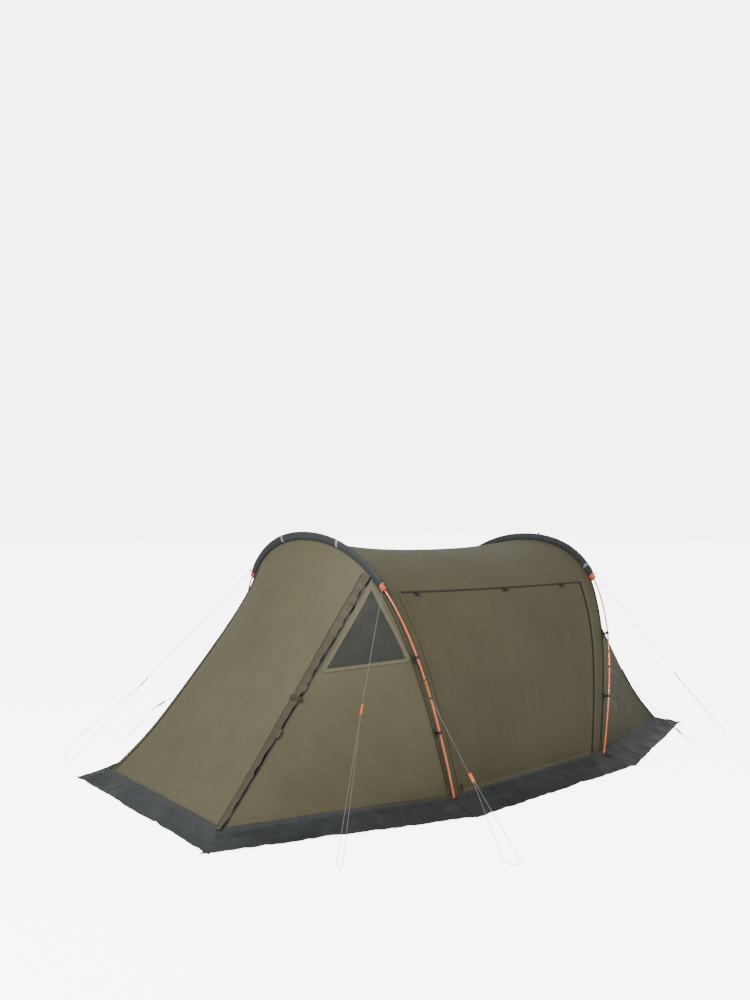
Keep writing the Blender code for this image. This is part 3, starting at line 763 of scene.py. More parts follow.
def tube(name, line, radius, sides=12, capped=True):
    """A round rod or cord along a line. The radius is one number or one for each point."""
    radii = radius if isinstance(radius, list) else [radius] * len(line)
    side = headings(line)[0].orthogonal().normalized()
    rows = []
    spots = []
    for point, way, length, size in zip(line, headings(line), run_of(line), radii):
        side = (side - way * side.dot(way)).normalized()
        up = way.cross(side)
        turns = [2 * math.pi * i / sides for i in range(sides)]
        rows.append([point + (side * math.cos(t) + up * math.sin(t)) * size for t in turns])
        spots.append([(length, 2 * math.pi * size * i / sides) for i in range(sides + 1)])
    piece = grid_piece(name, rows, closed=True, uvs=spots)
    if capped:
        shape = bmesh.new()
        shape.from_mesh(piece.data)
        bmesh.ops.holes_fill(shape, edges=[e for e in shape.edges if e.is_boundary])
        bmesh.ops.recalc_face_normals(shape, faces=shape.faces)
        shape.to_mesh(piece.data)
        shape.free()
    smooth(piece, 45)
    return piece


print("sewing tools ready;", len(FLYSHEET), "panels in the flysheet")

# %% [markdown]
# The front sheet zips open along both side edges. A puckered storm flap lies beside each zip. What
# is sewn to the sheet is left on no body, like the sheet, whose lower part is the door.


def with_the_door(piece):
    """Takes a sewn piece off any body and bakes its place into its mesh, like the sheet under it."""
    piece.parent = None
    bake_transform(piece)


front_zips = {}
moving_with_front = []
for side, sign in (("near", -1), ("far", 1)):
    top = on_hoop("front", 0.342 if side == "near" else 0.658)[0]
    line = rim(front_sheet, top, (-1.62, sign * 0.57, 0.036))
    line = [p.copy() for p in dense(evenly(line, 0.05), 6)]
    if sign > 0:
        line = line[::-1]
    front_zips[side] = line
    strip(f"front_zip_tape_fixed_{side}", line, (-0.0075, -0.0004), zip_tape, 0.0008, columns=3)
    teeth(f"front_zip_teeth_fixed_{side}", line, -1, "tent")
    tape = strip(f"front_zip_tape_door_{side}", line, (0.0004, 0.0095), zip_tape, 0.0008, body=None,
                 columns=3)
    row = teeth(f"front_zip_teeth_door_{side}", line, 1, None)
    sewn = 0.049 if side == "near" else 0.024
    loose = 0.0085 if side == "near" else 0.001
    flap = strip(f"storm_flap_{side}", line, (sewn, 0.001), flap_cloth, 0.0022, ruffle=loose,
                 body=None, columns=9, seed=31, step=0.008)
    edge = strip(f"storm_flap_edge_{side}", line, (sewn + 0.003, sewn - 0.003), seam_and_shade_cloth, 0.0030,
                 body=None, columns=3)
    moving_with_front += [tape, row, flap, edge]
print("front zips", {side: round(run_of(line)[-1], 3) for side, line in front_zips.items()})

# %% Side door zips, top seams and hems
DOOR_EDGE = 0.0005
side_zips = {}
for side in ("near", "far"):
    door = side_sheets[side]
    low_front, low_rear, high_front, high_rear = corners(door)
    body = f"side_door_{side}"
    for place, high, low in (("front", high_front, low_front), ("rear", high_rear, low_rear)):
        line = evenly(rim(door, high, low), 0.03)
        outward = (1 if place == "rear" else -1) * (1 if side == "far" else -1)
        side_zips[side, place] = line
        name = f"{place}_{side}"
        strip(f"side_zip_tape_fixed_{name}", line, (DOOR_EDGE * outward, 0.006 * outward), zip_tape,
              0.0009, columns=3)
        strip(f"side_zip_tape_door_{name}", line, (-DOOR_EDGE * outward, -0.006 * outward), zip_tape,
              0.0009, body=body, columns=3)
        teeth(f"side_zip_teeth_fixed_{name}", line, outward, "tent")
        teeth(f"side_zip_teeth_door_{name}", line, -outward, body)
        if place == "rear":
            strip(f"side_zip_band_{name}", line, (0.008 * outward, 0.026 * outward), binding_cloth,
                  0.0012, columns=4)
        else:
            strip(f"side_zip_cover_{name}", line, (0.018 * outward, -0.008 * outward), olive, 0.0032,
                  columns=6)
    top_line = rim(door, high_front, high_rear)
    reach = (-0.005, 0.003) if side == "near" else (-0.003, 0.005)
    strip(f"side_door_top_seam_{side}", top_line, reach, seam_and_shade_cloth, 0.0022, columns=4)
    side_zips[side, "top"] = top_line
    hem = rim(door, low_front, low_rear)
    strip(f"side_door_hem_{side}", hem, (-0.001, 0.022) if side == "far" else (0.001, -0.022),
          binding_cloth, 0.0014, body=body, columns=4)
print("side door zips", {key: round(run_of(line)[-1], 3) for key, line in side_zips.items()})

# %% [markdown]
# A slider is three rounded blocks: the body, the bridge on it and the puller that hangs down. They
# are modelled flat at the origin and then turned to stand on their zip.

# %% Sliders, pullers and the flap's tab
SLIDER_BLOCKS = (((0, 0, 0.0045), (0.012, 0.009, 0.0045), 0.0012),
                 ((0, 0, 0.0075), (0.006, 0.003, 0.0030), 0.0008),
                 ((0.016, 0, 0.0070), (0.024, 0.006, 0.0016), 0.0006))


def slider(name, line, length, body):
    """A zip's slider with its puller hanging from a bridge."""
    before, place, after = at(line, [length - 0.01, length, length + 0.01])
    along = (after - before).normalized()
    if along.z > 0:
        along = -along
    out = skin.find_nearest(place)[1]
    across = along.cross(out).normalized()
    out = across.cross(along).normalized()
    pieces = []
    for spot, size, bevel in SLIDER_BLOCKS:
        bpy.ops.object.select_all(action="DESELECT")
        bpy.ops.mesh.primitive_cube_add(size=1, location=spot)
        block = bpy.context.object
        block.scale = size
        settle_place(block)
        rounder = block.modifiers.new("rounder", "BEVEL")
        rounder.width = bevel
        rounder.segments = 3
        apply_all(block)
        pieces.append(block)
    only(*pieces)
    bpy.ops.object.join()
    whole_slider = bpy.context.object
    whole_slider.name = name
    turn = Matrix((along, across, out)).transposed().to_4x4()
    turn.translation = place
    whole_slider.data.transform(turn)
    smooth(whole_slider, 40)
    return finish_piece(whole_slider, puller_metal, body)


for side in ("near", "far"):
    total = run_of(front_zips[side])[-1]
    low = total - 0.05 if side == "near" else 0.05
    moving_with_front.append(slider(f"front_zip_slider_{side}", front_zips[side], low, None))
    for place in ("front", "rear"):
        line = side_zips[side, place]
        slider(f"side_zip_slider_{place}_{side}", line, run_of(line)[-1] - 0.04, "tent")
total = run_of(front_zips["near"])[-1]
tab_line = at(front_zips["near"], np.linspace(0.49 * total, 0.49 * total + 0.024, 5))
tab = strip("storm_flap_tab", tab_line, (-0.016, 0.052), seam_and_shade_cloth, 0.0105, body=None, columns=6,
            step=0.006)
moving_with_front.append(tab)
print("sliders", 6)

# %% [markdown]
# Seams run down the hoops below the sleeves, with a line of stitching on them. Their dark colour is
# painted shade for the crease between the wall and the pole. Folded hems finish the panels at the
# ground.

# %% Seams along the hoops and the rear
for end, walls in (("front", front_walls), ("rear", rear_walls)):
    for side, sign in (("near", -1), ("far", 1)):
        wall = walls[side]
        points = [v.co for v in wall.data.vertices]
        towards = 1 if end == "front" else -1
        upper = max(points, key=lambda p: p.z * 1.2 + p.x * towards * 0.3)
        foot = on_hoop(end, 0.02 if side == "near" else 0.98)[0]
        line = evenly(rim(wall, upper, foot), 0.03)
        # This dark strip is painted shade: the shadow in the crease between the wall and the pole, laid
        # over the seam.
        strip(f"hoop_seam_{end}_{side}", line, (-0.011, 0.011), seam_and_shade_cloth, 0.0010, columns=5)
        strip(f"hoop_seam_stitching_{end}_{side}", line, (-0.0008, 0.0008), binding_cloth, 0.0024,
              columns=2, thickness=0.0004)
        outer_x = min(p.x for p in points) if end == "front" else max(p.x for p in points)
        hem = rim(wall, foot, (outer_x, sign * 0.6, 0.036))
        lower = [p for p in hem if p.z < 0.2]
        strip(f"wall_hem_{end}_{side}", lower, (-0.012, 0.012), flap_cloth, 0.0012, columns=5)
for side, sign in (("near", -1), ("far", 1)):
    top = on_hoop("rear", 0.342 if side == "near" else 0.658)[0]
    line = evenly(rim(rear_sheet, top, (1.617, sign * 0.628, 0.036)), 0.03)
    strip(f"rear_seam_{side}", line, (-0.008, 0.008), olive, 0.0012, columns=5)
for sheet, name, depth in ((front_sheet, "front", -1.617), (rear_sheet, "rear", 1.617)):
    line = rim(sheet, (depth, -0.57, 0.036), (depth, 0.57, 0.036))
    hem = strip(f"{name}_hem", line, (-0.014, 0.014), flap_cloth, 0.0012, columns=5,
                body=None if name == "front" else "tent")
    if name == "front":
        moving_with_front.append(hem)
print("seams ready")

# %% [markdown]
# The window's net is cut as a triangle along the zip. It is sewn over the opening from outside, and
# an olive gusset fills the opening's rear top corner.

# %% Windows
for side in ("near", "far"):
    pane = panes[side]
    facing = 1 if side == "near" else -1
    points = [v.co for v in pane.data.vertices]
    tip = max(points, key=lambda p: p.z * 3 - p.x).copy()
    rear_top = max(points, key=lambda p: p.z * 3 + p.x).copy()
    rear_low = max(points, key=lambda p: p.x - p.z).copy()
    front_low = min(points, key=lambda p: p.x + p.z * 0.5).copy()
    cut = [on_cloth(tip.lerp(rear_low, i / 20)) for i in range(21)]
    hoop_edge = rim(pane, rear_top, rear_low)
    hoop_edge = at(hoop_edge, np.linspace(0, run_of(hoop_edge)[-1], 21))
    rows = [[on_cloth(a.lerp(b, i / 8), 0.0008) for i in range(9)] for a, b in zip(cut, hoop_edge)]
    spots = [[(i * 0.01, k * 0.01) for k in range(9)] for i in range(21)]
    gusset = grid_piece(f"window_gusset_{side}", rows, uvs=spots)
    sew(gusset, 0.0006, facing, 50, olive, "tent")
    edge_way = tip - front_low
    net_corners = [front_low - edge_way * 0.20, rear_low + Vector((0.016, 0, -0.008)),
                   tip + edge_way * 0.27 + Vector((0.008, 0, 0))]
    net_corners = [on_cloth(p) for p in net_corners]
    rows = []
    spots = []
    for i in range(31):
        t = i / 30 * 0.985
        left, right = (net_corners[k].lerp(net_corners[2], t) for k in (0, 1))
        rows.append([on_cloth(left.lerp(right, k / 12), 0.0016) for k in range(13)])
        spots.append([((left - right).length * (k / 12 - 0.5), t * 0.35) for k in range(13)])
    net = grid_piece(f"window_net_face_{side}", rows, uvs=spots)
    sew(net, 0.0005, facing, 50, net_cloth, "tent")
    for i, place in enumerate(("low", "rear", "front")):
        a, b = net_corners[i], net_corners[(i + 1) % 3]
        line = [on_cloth(a.lerp(b, k / 20)) for k in range(21)]
        strip(f"window_edging_{place}_{side}", line, (-0.008, 0.008), binding_cloth,
              0.0024 + 0.0003 * i, columns=5)
    strip(f"window_opening_seam_{side}", hoop_edge, (-0.006, 0.006), olive, 0.0018, columns=3)
    print(side, "window corners", [tuple(round(x, 3) for x in p) for p in net_corners])

# %% [markdown]
# ## Poles and sleeves
# A pole is six rods. Each rod after the first plugs into a ferrule fixed on the one before it. The
# sleeve is a tube of cloth sewn along the crown, taller than it is wide, and it ends in an orange
# cuff where the pole comes out.

# %% Rods, ferrules and rings
FULL_POLE = 3.4816
ROD_RADIUS = 0.00425
FERRULE_RADIUS = 0.0052


def pole_share(cad_share, end):
    """A share counted along the whole pole, as a share between the middles of its end rings."""
    spare = (FULL_POLE - pole_lengths[end]) / 2
    return (cad_share * FULL_POLE - spare) / pole_lengths[end]


def pole_run(end, start, stop, step=0.012):
    count = max(2, round((stop - start) * FULL_POLE / step) + 1)
    shares = [pole_share(s, end) for s in np.linspace(start, stop, count)]
    lengths = [s * pole_lengths[end] for s in shares]
    line = at(pole_lines[end], lengths)
    if shares[0] < 0:
        line[0] = pole_lines[end][0] + (pole_lines[end][0] - pole_lines[end][1]).normalized() * 0.001
    return line


def edged(line, radius, bevel=0.0006):
    """A line with extra points at its ends, and radii that round the rims there."""
    first = (line[1] - line[0]).normalized()
    last = (line[-1] - line[-2]).normalized()
    inner = [line[0] + first * bevel] + line[1:-1] + [line[-1] - last * bevel]
    full = [line[0]] + inner + [line[-1]]
    return full, [radius - bevel] + [radius] * len(inner) + [radius - bevel]


HALF = 0.045 / FULL_POLE
TIP = 0.0105
PLAY = 0.0002
rods = 0
for end in HOOPS:
    for number in range(1, RODS + 1):
        start = TIP if number == 1 else (number - 1) / RODS + PLAY
        stop = 1 - TIP if number == RODS else number / RODS - PLAY
        rod = tube(f"rod_{end}_{number}", *edged(pole_run(end, start, stop), ROD_RADIUS), sides=18)
        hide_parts(f"pole_{end}_{number}")
        finish_piece(rod, rod_lacquer, "tent")
        rods += 1
        if number == RODS:
            continue
        joint = number / RODS
        ferrule = tube(f"ferrule_{end}_{number}",
                       *edged(pole_run(end, joint - HALF, joint + HALF, 0.009), FERRULE_RADIUS), sides=20)
        finish_piece(ferrule, ferrule_metal, "tent")
        for side, place in (("low", joint - HALF), ("high", joint + HALF)):
            line = pole_run(end, place - 0.0011, place + 0.0011, 0.003)
            ring = tube(f"rod_ring_{end}_{number}_{side}", *edged(line, FERRULE_RADIUS + 0.0007, 0.001), 20)
            finish_piece(ring, ring_rubber, "tent")
print(rods, "rods,", rods - 2, "ferrules")


# %% Sleeves
SLEEVE_ENDS = (0.3143, 0.6857)
SLEEVE_ROOT = 0.0222
SLEEVE_TAPER = 0.09
CUFF = 0.032 / FULL_POLE


def sleeve_row(end, share, tall, wide, sides, length, pucker):
    """Points round the sleeve: flat where it is sewn down, full at the top."""
    centre, _, inward = on_hoop(end, share)
    across = pole_planes[end]
    row = []
    for i in range(sides):
        turn = 2 * math.pi * i / sides
        full = 1 + pucker * wander(12, length * 26, math.cos(turn) * 1.3, math.sin(turn) * 1.3)
        crease = 1 - 0.45 * max(0, math.cos(turn)) ** 3
        reach = max(tall, SLEEVE_ROOT) if math.cos(turn) > 0 else tall
        row.append(centre + inward * reach * math.cos(turn) * (1 - 0.12 * (full - 1))
                   + across * wide * math.sin(turn) * full * crease)
    return row


def sleeve_tube(name, end, start, stop, tall, wide, step, pucker, material, thickness=0.0007):
    first, last = (pole_share(s, end) for s in (start, stop))
    whole = [pole_share(s, end) for s in SLEEVE_ENDS]
    count = round((stop - start) * FULL_POLE / step) + 1
    sides = 28
    rows = []
    spots = []
    for share in np.linspace(first, last, count):
        length = share * pole_lengths[end]
        slim = 0.70 + 0.30 * ease(min(share - whole[0], whole[1] - share) * FULL_POLE / SLEEVE_TAPER)
        rows.append(sleeve_row(end, share, tall * slim, wide * (slim + 1) / 2, sides, length, pucker))
        spots.append([(length, 0.1 * i / sides) for i in range(sides + 1)])
    piece = grid_piece(name, rows, closed=True, uvs=spots)
    return sew(piece, thickness, 1, 60, material, "tent")


sleeves = {}
for end in HOOPS:
    start, stop = SLEEVE_ENDS
    sleeve = sleeve_tube(f"sleeve_cloth_{end}", end, start, stop, 0.0195, 0.0092, 0.006, 0.16,
                         sleeve_cloth)
    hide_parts(f"sleeve_{end}")
    sleeves[end] = sleeve
    for side, a, b in (("near", start, start + CUFF), ("far", stop - CUFF, stop)):
        sleeve_tube(f"cuff_{end}_{side}", end, a, b, 0.0208, 0.0106, 0.004, 0.08, cuff_cloth)
print({end: len(sleeve.data.polygons) for end, sleeve in sleeves.items()}, "faces in the sleeves")

# %% Sewn lines and marks on the sleeves
for end in HOOPS:
    for side in (-1, 1):
        shares = np.linspace(pole_share(SLEEVE_ENDS[0], end), pole_share(SLEEVE_ENDS[1], end), 160)
        spots = [on_hoop(end, s) for s in shares]
        line = [p + inward * 0.0185 + pole_planes[end] * side * 0.006 for p, along, inward in spots]
        welt = tube(f"sleeve_welt_{end}_{side}", line, 0.0018, 8)
        finish_piece(welt, sleeve_cloth, "tent")
MARKS = (("front", 0.425), ("front", 0.56), ("rear", 0.345), ("rear", 0.655))
for i, (end, share) in enumerate(MARKS):
    sleeve_tube(f"reflective_band_{end}_{i}", end, share - 0.0024, share + 0.0024, 0.0200, 0.0104, 0.003,
                0.05, reflective)
centre, along, inward = on_hoop("rear", 0.475)
bpy.ops.mesh.primitive_cube_add(size=1, location=centre - inward * 0.024)
tab = bpy.context.object
tab.name = "sleeve_top_tab"
tab.scale = (0.0012, 0.016, 0.013)
tab.rotation_euler = (0, math.atan2(inward.x, -inward.z) * -1, 0)
settle_place(tab)
finish_piece(tab, reflective, "tent")
print("marks on the sleeves", len(MARKS))

# %% [markdown]
# ## Clips, straps and toggles
# The clips hook over the pole below the sleeve. Each one hangs on a short webbing tab at the seam.
# Above the upper clip a dark strap runs down from the seam to the rod, where a guy line is tied.


# %% Clips and their webbing
def softened(node, width, material):
    """A clip from the working model with its edges rounded."""
    mesh = frame["nodes"][node].data.copy()
    piece = new_piece(f"{node}_hook", mesh)
    shape = bmesh.new()
    shape.from_mesh(mesh)
    bmesh.ops.remove_doubles(shape, verts=shape.verts, dist=0.00002)
    bmesh.ops.dissolve_limit(shape, angle_limit=math.radians(1), verts=shape.verts, edges=shape.edges)
    shape.to_mesh(mesh)
    shape.free()
    rounder = piece.modifiers.new("rounder", "BEVEL")
    rounder.width = width
    rounder.segments = 2
    rounder.limit_method = "ANGLE"
    apply_all(piece)
    smooth(piece, 40)
    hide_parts(node)
    return finish_piece(piece, material, "tent")


WEBBING_WALL = 0.0014


def band_between(name, places, width, across, material):
    """A webbing strap through the places, flat along the given direction."""
    line = dense(places, 5)
    rows = [[p - across * width / 2, p, p + across * width / 2] for p in line]
    spots = [[(length, width * k / 2) for k in range(3)] for length in run_of(line)]
    return sew(grid_piece(name, rows, uvs=spots), WEBBING_WALL, 0, 40, material, "tent")


CLIPS = {"low": 0.105, "high": 0.212}
for end in HOOPS:
    for side in ("near", "far"):
        for level, share in CLIPS.items():
            node = f"clip_{end}_{side}_{level}"
            softened(node, 0.0006, clip_plastic)
            cad = share if side == "near" else 1 - share
            centre, along, inward = on_hoop(end, pole_share(cad, end))
            seam_place, out, _, _ = skin.find_nearest(centre + inward * 0.02)
            root = seam_place + out * 0.001
            up = along if side == "near" else -along
            band_between(f"clip_tab_{end}_{side}_{level}",
                         [root - up * 0.022 + out * 0.001, root - up * 0.008 + out * 0.004,
                          root + up * 0.008 + out * 0.004, root + up * 0.022 + out * 0.001],
                         0.016, pole_planes[end], webbing)
            if level == "high":
                tip = centre - inward * 0.001 - up * 0.075
                band_between(f"guy_strap_{end}_{side}",
                             [root - up * 0.002 + out * 0.003, (root + tip) / 2 + out * 0.002, tip],
                             0.011, pole_planes[end], webbing)
print("clips", 2 * 2 * len(CLIPS))

# %% [markdown]
# A rolled-up side door is held by three toggles. Each is a short bar in a webbing loop.

# %% Toggles along the side doors' top seams
for side in ("near", "far"):
    line = side_zips[side, "top"]
    total = run_of(line)[-1]
    for i, (share, size) in enumerate(((0.07, 1.0), (0.53, 1.5), (0.87, 1.0))):
        before, place, after = at(line, [(share - 0.01) * total, share * total, (share + 0.01) * total])
        along = (after - before).normalized()
        out = skin.find_nearest(place)[1]
        down = along.cross(out).normalized()
        if down.z > 0:
            down = -down
        bar = tube(f"toggle_bar_{side}_{i}", [place + out * 0.009 + down * 0.014 + along * s * size
                                              for s in (-0.017, -0.016, 0, 0.016, 0.017)],
                   [0.002, 0.0038, 0.0032, 0.0038, 0.002], 12)
        finish_piece(bar, clip_plastic, "tent")
        band_between(f"toggle_loop_{side}_{i}",
                     [place + out * 0.003 - down * 0.004, place + out * 0.010 + down * 0.004,
                      place + out * 0.0135 + down * 0.014, place + out * 0.008 + down * 0.021,
                      place + out * 0.003 + down * 0.006], 0.009 * size, along, webbing)
print("toggles", 6)

# %% [markdown]
# ## The ground skirt
# The skirt is eight loose strips that lie on the ground outside the walls. Each one is longer than
# the wall it hangs from, so it ruckles and its ends lie over each other at the corners.

# %% Skirt strips
SKIRTS = ("near_front", "near_side", "near_rear", "rear", "far_rear", "far_side", "far_front", "front")


def skirt_corners(node):
    """The slope's corners: the wall's two, then the free edge's two, in the same order."""
    points = {tuple(round(x, 5) for x in v.co) for v in frame["nodes"][node].data.vertices}
    points = [Vector(p) for p in points]
    free_a, free_b = (p for p in points if 0.0005 < p.z < 0.01)
    high = [p for p in points if p.z > 0.03]
    high.sort(key=lambda p: p.dot(free_b - free_a))
    wall_a = min(high[:2], key=lambda p: (p - free_a).length)
    wall_b = min(high[2:], key=lambda p: (p - free_b).length)
    return wall_a, wall_b, free_a, free_b


skirt_lengths = {}
for i, name in enumerate(SKIRTS):
    wall_a, wall_b, free_a, free_b = skirt_corners(f"skirt_{name}")
    along = (wall_b - wall_a).normalized()
    over = 0.018 if i % 2 else 0.030
    free_a = free_a - along * over
    free_b = free_b + along * over
    length = (wall_b - wall_a).length
    count = max(20, round(length / 0.012))
    depth = 16
    raised = 0.0012 + 0.0016 * (i % 2)
    rows = []
    spots = []
    for r in range(depth + 1):
        t = r / depth
        row = []
        spot = []
        for c in range(count + 1):
            s = c / count
            top = wall_a.lerp(wall_b, s)
            low = free_a.lerp(free_b, s)
            place = top.lerp(low, t)
            ends = 1 - ease(min(s, 1 - s) * length / 0.16)
            fold = 0.5 + 0.5 * wander(40 + i, s * length * 9, t * 0.8)
            ruck = max(0, wander(60 + i, s * length * 24 + t * 2, t * 1.1))
            crease = 1 - abs(wander(100 + i, s * length * 14 + t, t * 2.5))
            height = (0.012 * fold + (0.016 + 0.026 * ends) * ruck + 0.006 * crease ** 6)
            height *= ease(t * 2.2) * (1 - 0.5 * t)
            sag = 0.020 * math.sin(math.pi * t) * (1 - 0.5 * fold)
            place.z = max(place.z - sag + height, 0.0016 + raised)
            place += (low - top).to_2d().to_3d().normalized() * (0.006 * t * wander(80 + i, s * length * 4))
            row.append(place)
            spot.append((s * length, t * (free_a - wall_a).length))
        rows.append(row)
        spots.append(spot)
    outward = ((free_a + free_b) / 2 - (wall_a + wall_b) / 2).to_2d().normalized().to_3d()
    rows.insert(0, [p - outward * 0.006 + Vector((0, 0, 0.016)) for p in rows[0]])
    spots.insert(0, [(x, -0.017) for x, _ in spots[0]])
    strip_piece = grid_piece(f"skirt_cloth_{name}", rows, uvs=spots)
    hem_rows = [[p + Vector((0, 0, 0.0012)) for p in rows[r]] for r in (depth, depth + 1)]
    hem = grid_piece(f"skirt_hem_{name}", hem_rows, uvs=spots[-2:])
    for piece in (strip_piece, hem):
        sew(piece, CLOTH_WALL, 0, 60, skirt_cloth, "tent")
    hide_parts(f"skirt_{name}")
    skirt_lengths[name] = round(length, 3)
print("skirt strips", skirt_lengths)

# %% [markdown]
# ## Guy lines
# Six thin cords run from the hoops to the ground. Each one goes down through its runner, round two
# pegs' places and back up to the runner, where a knot holds its end. The runner grips by friction.

# %% Cords, knots and runners
GUY_LINES = {
    "front_near_upper": ((-0.7060, -0.5736, 1.0475), (-1.039, -0.809, 0.527),
                         (-1.412, -1.104, 0), (-1.438, -1.171, 0)),
    "front_near_lower": ((-0.6216, -0.8248, 0.5085), (-0.752, -1.205, 0.251),
                         (-0.889, -1.524, 0), (-0.854, -1.593, 0)),
    "front_far_upper": ((-0.7060, 0.5736, 1.0475), (-1.255, 0.864, 0.431),
                        (-1.568, 1.308, 0), (-1.720, 0.915, 0)),
    "front_far_lower": ((-0.6216, 0.8248, 0.5085), (-1.008, 1.166, 0.212),
                        (-1.262, 1.397, 0), (-1.255, 1.217, 0)),
    "rear_near_upper": ((0.9512, -0.5736, 1.0144), (1.426, -0.878, 0.377),
                        (1.881, -0.959, 0), (1.702, -1.075, 0)),
    "rear_near_lower": ((0.7926, -0.8248, 0.4924), (1.187, -1.048, 0.108),
                        (1.355, -1.116, 0), (1.275, -1.138, 0)),
}
CORD_RADIUS = 0.00125
KNOT_RUN = 0.014
PEG_TURN = 0.024
BORE_OFFSET = 0.0035
RUNNER_SIZE = (0.050, 0.014, 0.006)
RUNNER_HOLES = ((-0.019, 0.0026), (0.019, 0.0026), (0.006, 0.0022))


def rounded(points, cuts):
    """The line with each inner corner turned in a curve."""
    line = [points[0]]
    for before, corner, after, cut in zip(points, points[1:], points[2:], cuts):
        start = corner + (before - corner).normalized() * cut
        stop = corner + (after - corner).normalized() * cut
        for i in range(9):
            t = i / 8
            line.append(start.lerp(corner, t).lerp(corner.lerp(stop, t), t))
    return line + [points[-1]]


def knot(name, place, way, body="tent", size=0.0036):
    """A small overhand knot: three turns of the cord round itself."""
    side = way.orthogonal().normalized()
    up = way.cross(side)
    line = []
    for i in range(49):
        t = i / 48
        turn = t * 6 * math.pi
        swing = size * (0.75 + 0.25 * math.sin(t * math.pi))
        line.append(place + way * (t - 0.5) * 0.010
                    + (side * math.cos(turn) + up * math.sin(turn)) * swing)
    piece = tube(name, line, CORD_RADIUS * 1.05, 8)
    return finish_piece(piece, cord_cloth, body)


def runner_bar(name, place, down, side):
    """A rounded bar with a hole near each end and a smaller third hole between them."""
    bpy.ops.object.select_all(action="DESELECT")
    bpy.ops.mesh.primitive_cube_add(size=1)
    bar = bpy.context.object
    bar.name = name
    bar.scale = RUNNER_SIZE
    settle_place(bar)
    ends = bar.modifiers.new("ends", "BEVEL")
    ends.width = 0.0024
    ends.segments = 4
    apply_all(bar)
    cutters = []
    for x, radius in RUNNER_HOLES:
        bpy.ops.mesh.primitive_cylinder_add(vertices=24, radius=radius, depth=0.02, location=(x, 0, 0))
        cutters.append(bpy.context.object)
    for cutter in cutters:
        hole = bar.modifiers.new("hole", "BOOLEAN")
        hole.object = cutter
        hole.operation = "DIFFERENCE"
        hole.solver = "EXACT"
    apply_all(bar)
    for cutter in cutters:
        bpy.data.objects.remove(cutter, do_unlink=True)
    third = down.cross(side)
    turn = Matrix((down, side, third)).transposed().to_4x4()
    turn.translation = place
    bar.data.transform(turn)
    smooth(bar, 40)
    return bar


cord_lengths = {}
for name, places in GUY_LINES.items():
    hold, runner, peg_a, peg_b = (Vector(p) for p in places)
    down = (runner - hold).normalized()
    spread = peg_b - peg_a
    side = (spread - down * spread.dot(down)).normalized()
    rest = Vector((0, 0, CORD_RADIUS + 0.0003))
    below = runner + down * RUNNER_SIZE[0] / 2
    end = below + side * BORE_OFFSET * 2 + down * 0.0003
    route = rounded([hold, below + down * KNOT_RUN, peg_a + rest, peg_b + rest,
                     end + down * KNOT_RUN, end], (KNOT_RUN / 2, PEG_TURN, PEG_TURN, KNOT_RUN / 2))
    line = evenly(route, 0.008)
    cord = tube(f"guy_cord_{name}", line, CORD_RADIUS, 10)
    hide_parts(f"guy_line_{name}")
    finish_piece(cord, cord_cloth, "tent")
    ties = [knot(f"guy_knot_top_{name}", hold + down * 0.006, down, size=0.0034),
            knot(f"guy_knot_end_{name}", end + down * 0.004, down, size=0.0028)]
    bar = runner_bar(f"line_runner_{name}", runner + side * BORE_OFFSET, down, side)
    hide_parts(f"runner_{name}")
    finish_piece(bar, runner_plastic, f"runner_{name}")
    cord_lengths[name] = round(run_of(line)[-1], 3)
print("guy lines", cord_lengths)

# %% [markdown]
# ## Finishing the cloth
# Every panel now gets its thickness and its cloth. Each one's cut size is measured on its own flat
# pattern.


# %% The flysheet as sheets of cloth
def cut_size(piece):
    """The width and length of the flat cut, in metres."""
    layer = piece.data.uv_layers.active
    spots = np.zeros(len(piece.data.loops) * 2)
    layer.data.foreach_get("uv", spots)
    spots = spots.reshape(-1, 2)
    return spots.max(axis=0) - spots.min(axis=0)


def declared(piece, material, body):
    wide, long = (float(x) for x in cut_size(piece))
    sew(piece, CLOTH_WALL, -1, 60, material, body)


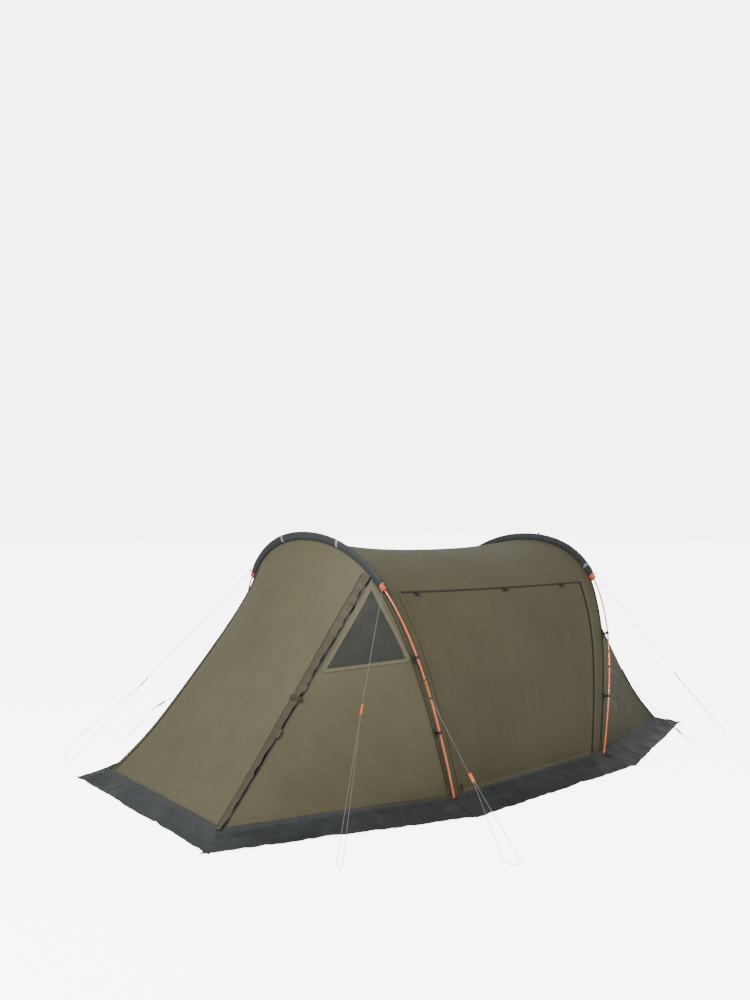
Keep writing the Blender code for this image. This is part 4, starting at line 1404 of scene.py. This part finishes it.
declared(tunnel_cloth, olive, "tent")
declared(front_sheet, olive, None)
declared(rear_sheet, olive, "tent")
for side in ("near", "far"):
    declared(side_sheets[side], olive, f"side_door_{side}")
    declared(front_walls[side], olive, "tent")
    declared(rear_walls[side], olive, "tent")
    declared(panes[side], net_cloth, "tent")
for piece in [front_sheet, *moving_with_front]:
    with_the_door(piece)
print(len(moving_with_front) + 1, "pieces bend at the front door's fold")

# %% [markdown]
# ## Floor and light
# The floor is pale and plain. A large soft lamp hangs over the tent on the viewer's left, and an
# even world fills the shadows. Both the world and the floor look brighter to the viewer than the
# light that they cast, so the studio is white while the dark cloth keeps its colour.

# %% Floor, world and lamps
FLOOR_SIZE = 60
SEEN_LIGHT = 6.0
CAST_LIGHT = 0.62
bpy.ops.object.select_all(action="DESELECT")
bpy.ops.mesh.primitive_plane_add(size=FLOOR_SIZE, location=(0, 0, 0))
floor = bpy.context.object
floor.name = "floor"
ground = bpy.data.materials.new("pale_floor")
ground.use_nodes = True
shader = ground.node_tree.nodes["Principled BSDF"]
shader.inputs["Base Color"].default_value = (0.90, 0.90, 0.90, 1)
shader.inputs["Roughness"].default_value = 0.9
shader.inputs["Emission Color"].default_value = (1, 1, 1, 1)
floor.data.materials.append(ground)

world = bpy.data.worlds.new("studio")
bpy.context.scene.world = world
world.use_nodes = True
world.node_tree.nodes["Background"].inputs["Color"].default_value = (0.96, 0.98, 1, 1)
for tree, socket, dim in (
        (world.node_tree, world.node_tree.nodes["Background"].inputs["Strength"], CAST_LIGHT),
        (ground.node_tree, shader.inputs["Emission Strength"], 0.0)):
    rays = tree.nodes.new("ShaderNodeLightPath")
    seen = span_node(tree, rays.outputs["Is Camera Ray"], dim, SEEN_LIGHT, 0.0, 1.0)
    tree.links.new(seen, socket)
LAMPS = (("key", (-5.0, -1.5, 4.5), 3.0, 620), ("fill", (1.5, -6.0, 3.5), 4.0, 90))
for name, place, size, power in LAMPS:
    data = bpy.data.lights.new(name, "AREA")
    data.shape = "DISK"
    data.size = size
    data.energy = power
    lamp = bpy.data.objects.new(name, data)
    bpy.context.scene.collection.objects.link(lamp)
    lamp.location = place
    lamp.rotation_euler = (Vector((0, 0, 0.5)) - Vector(place)).to_track_quat("-Z", "Y").to_euler()
print("lamps", [row[0] for row in LAMPS])
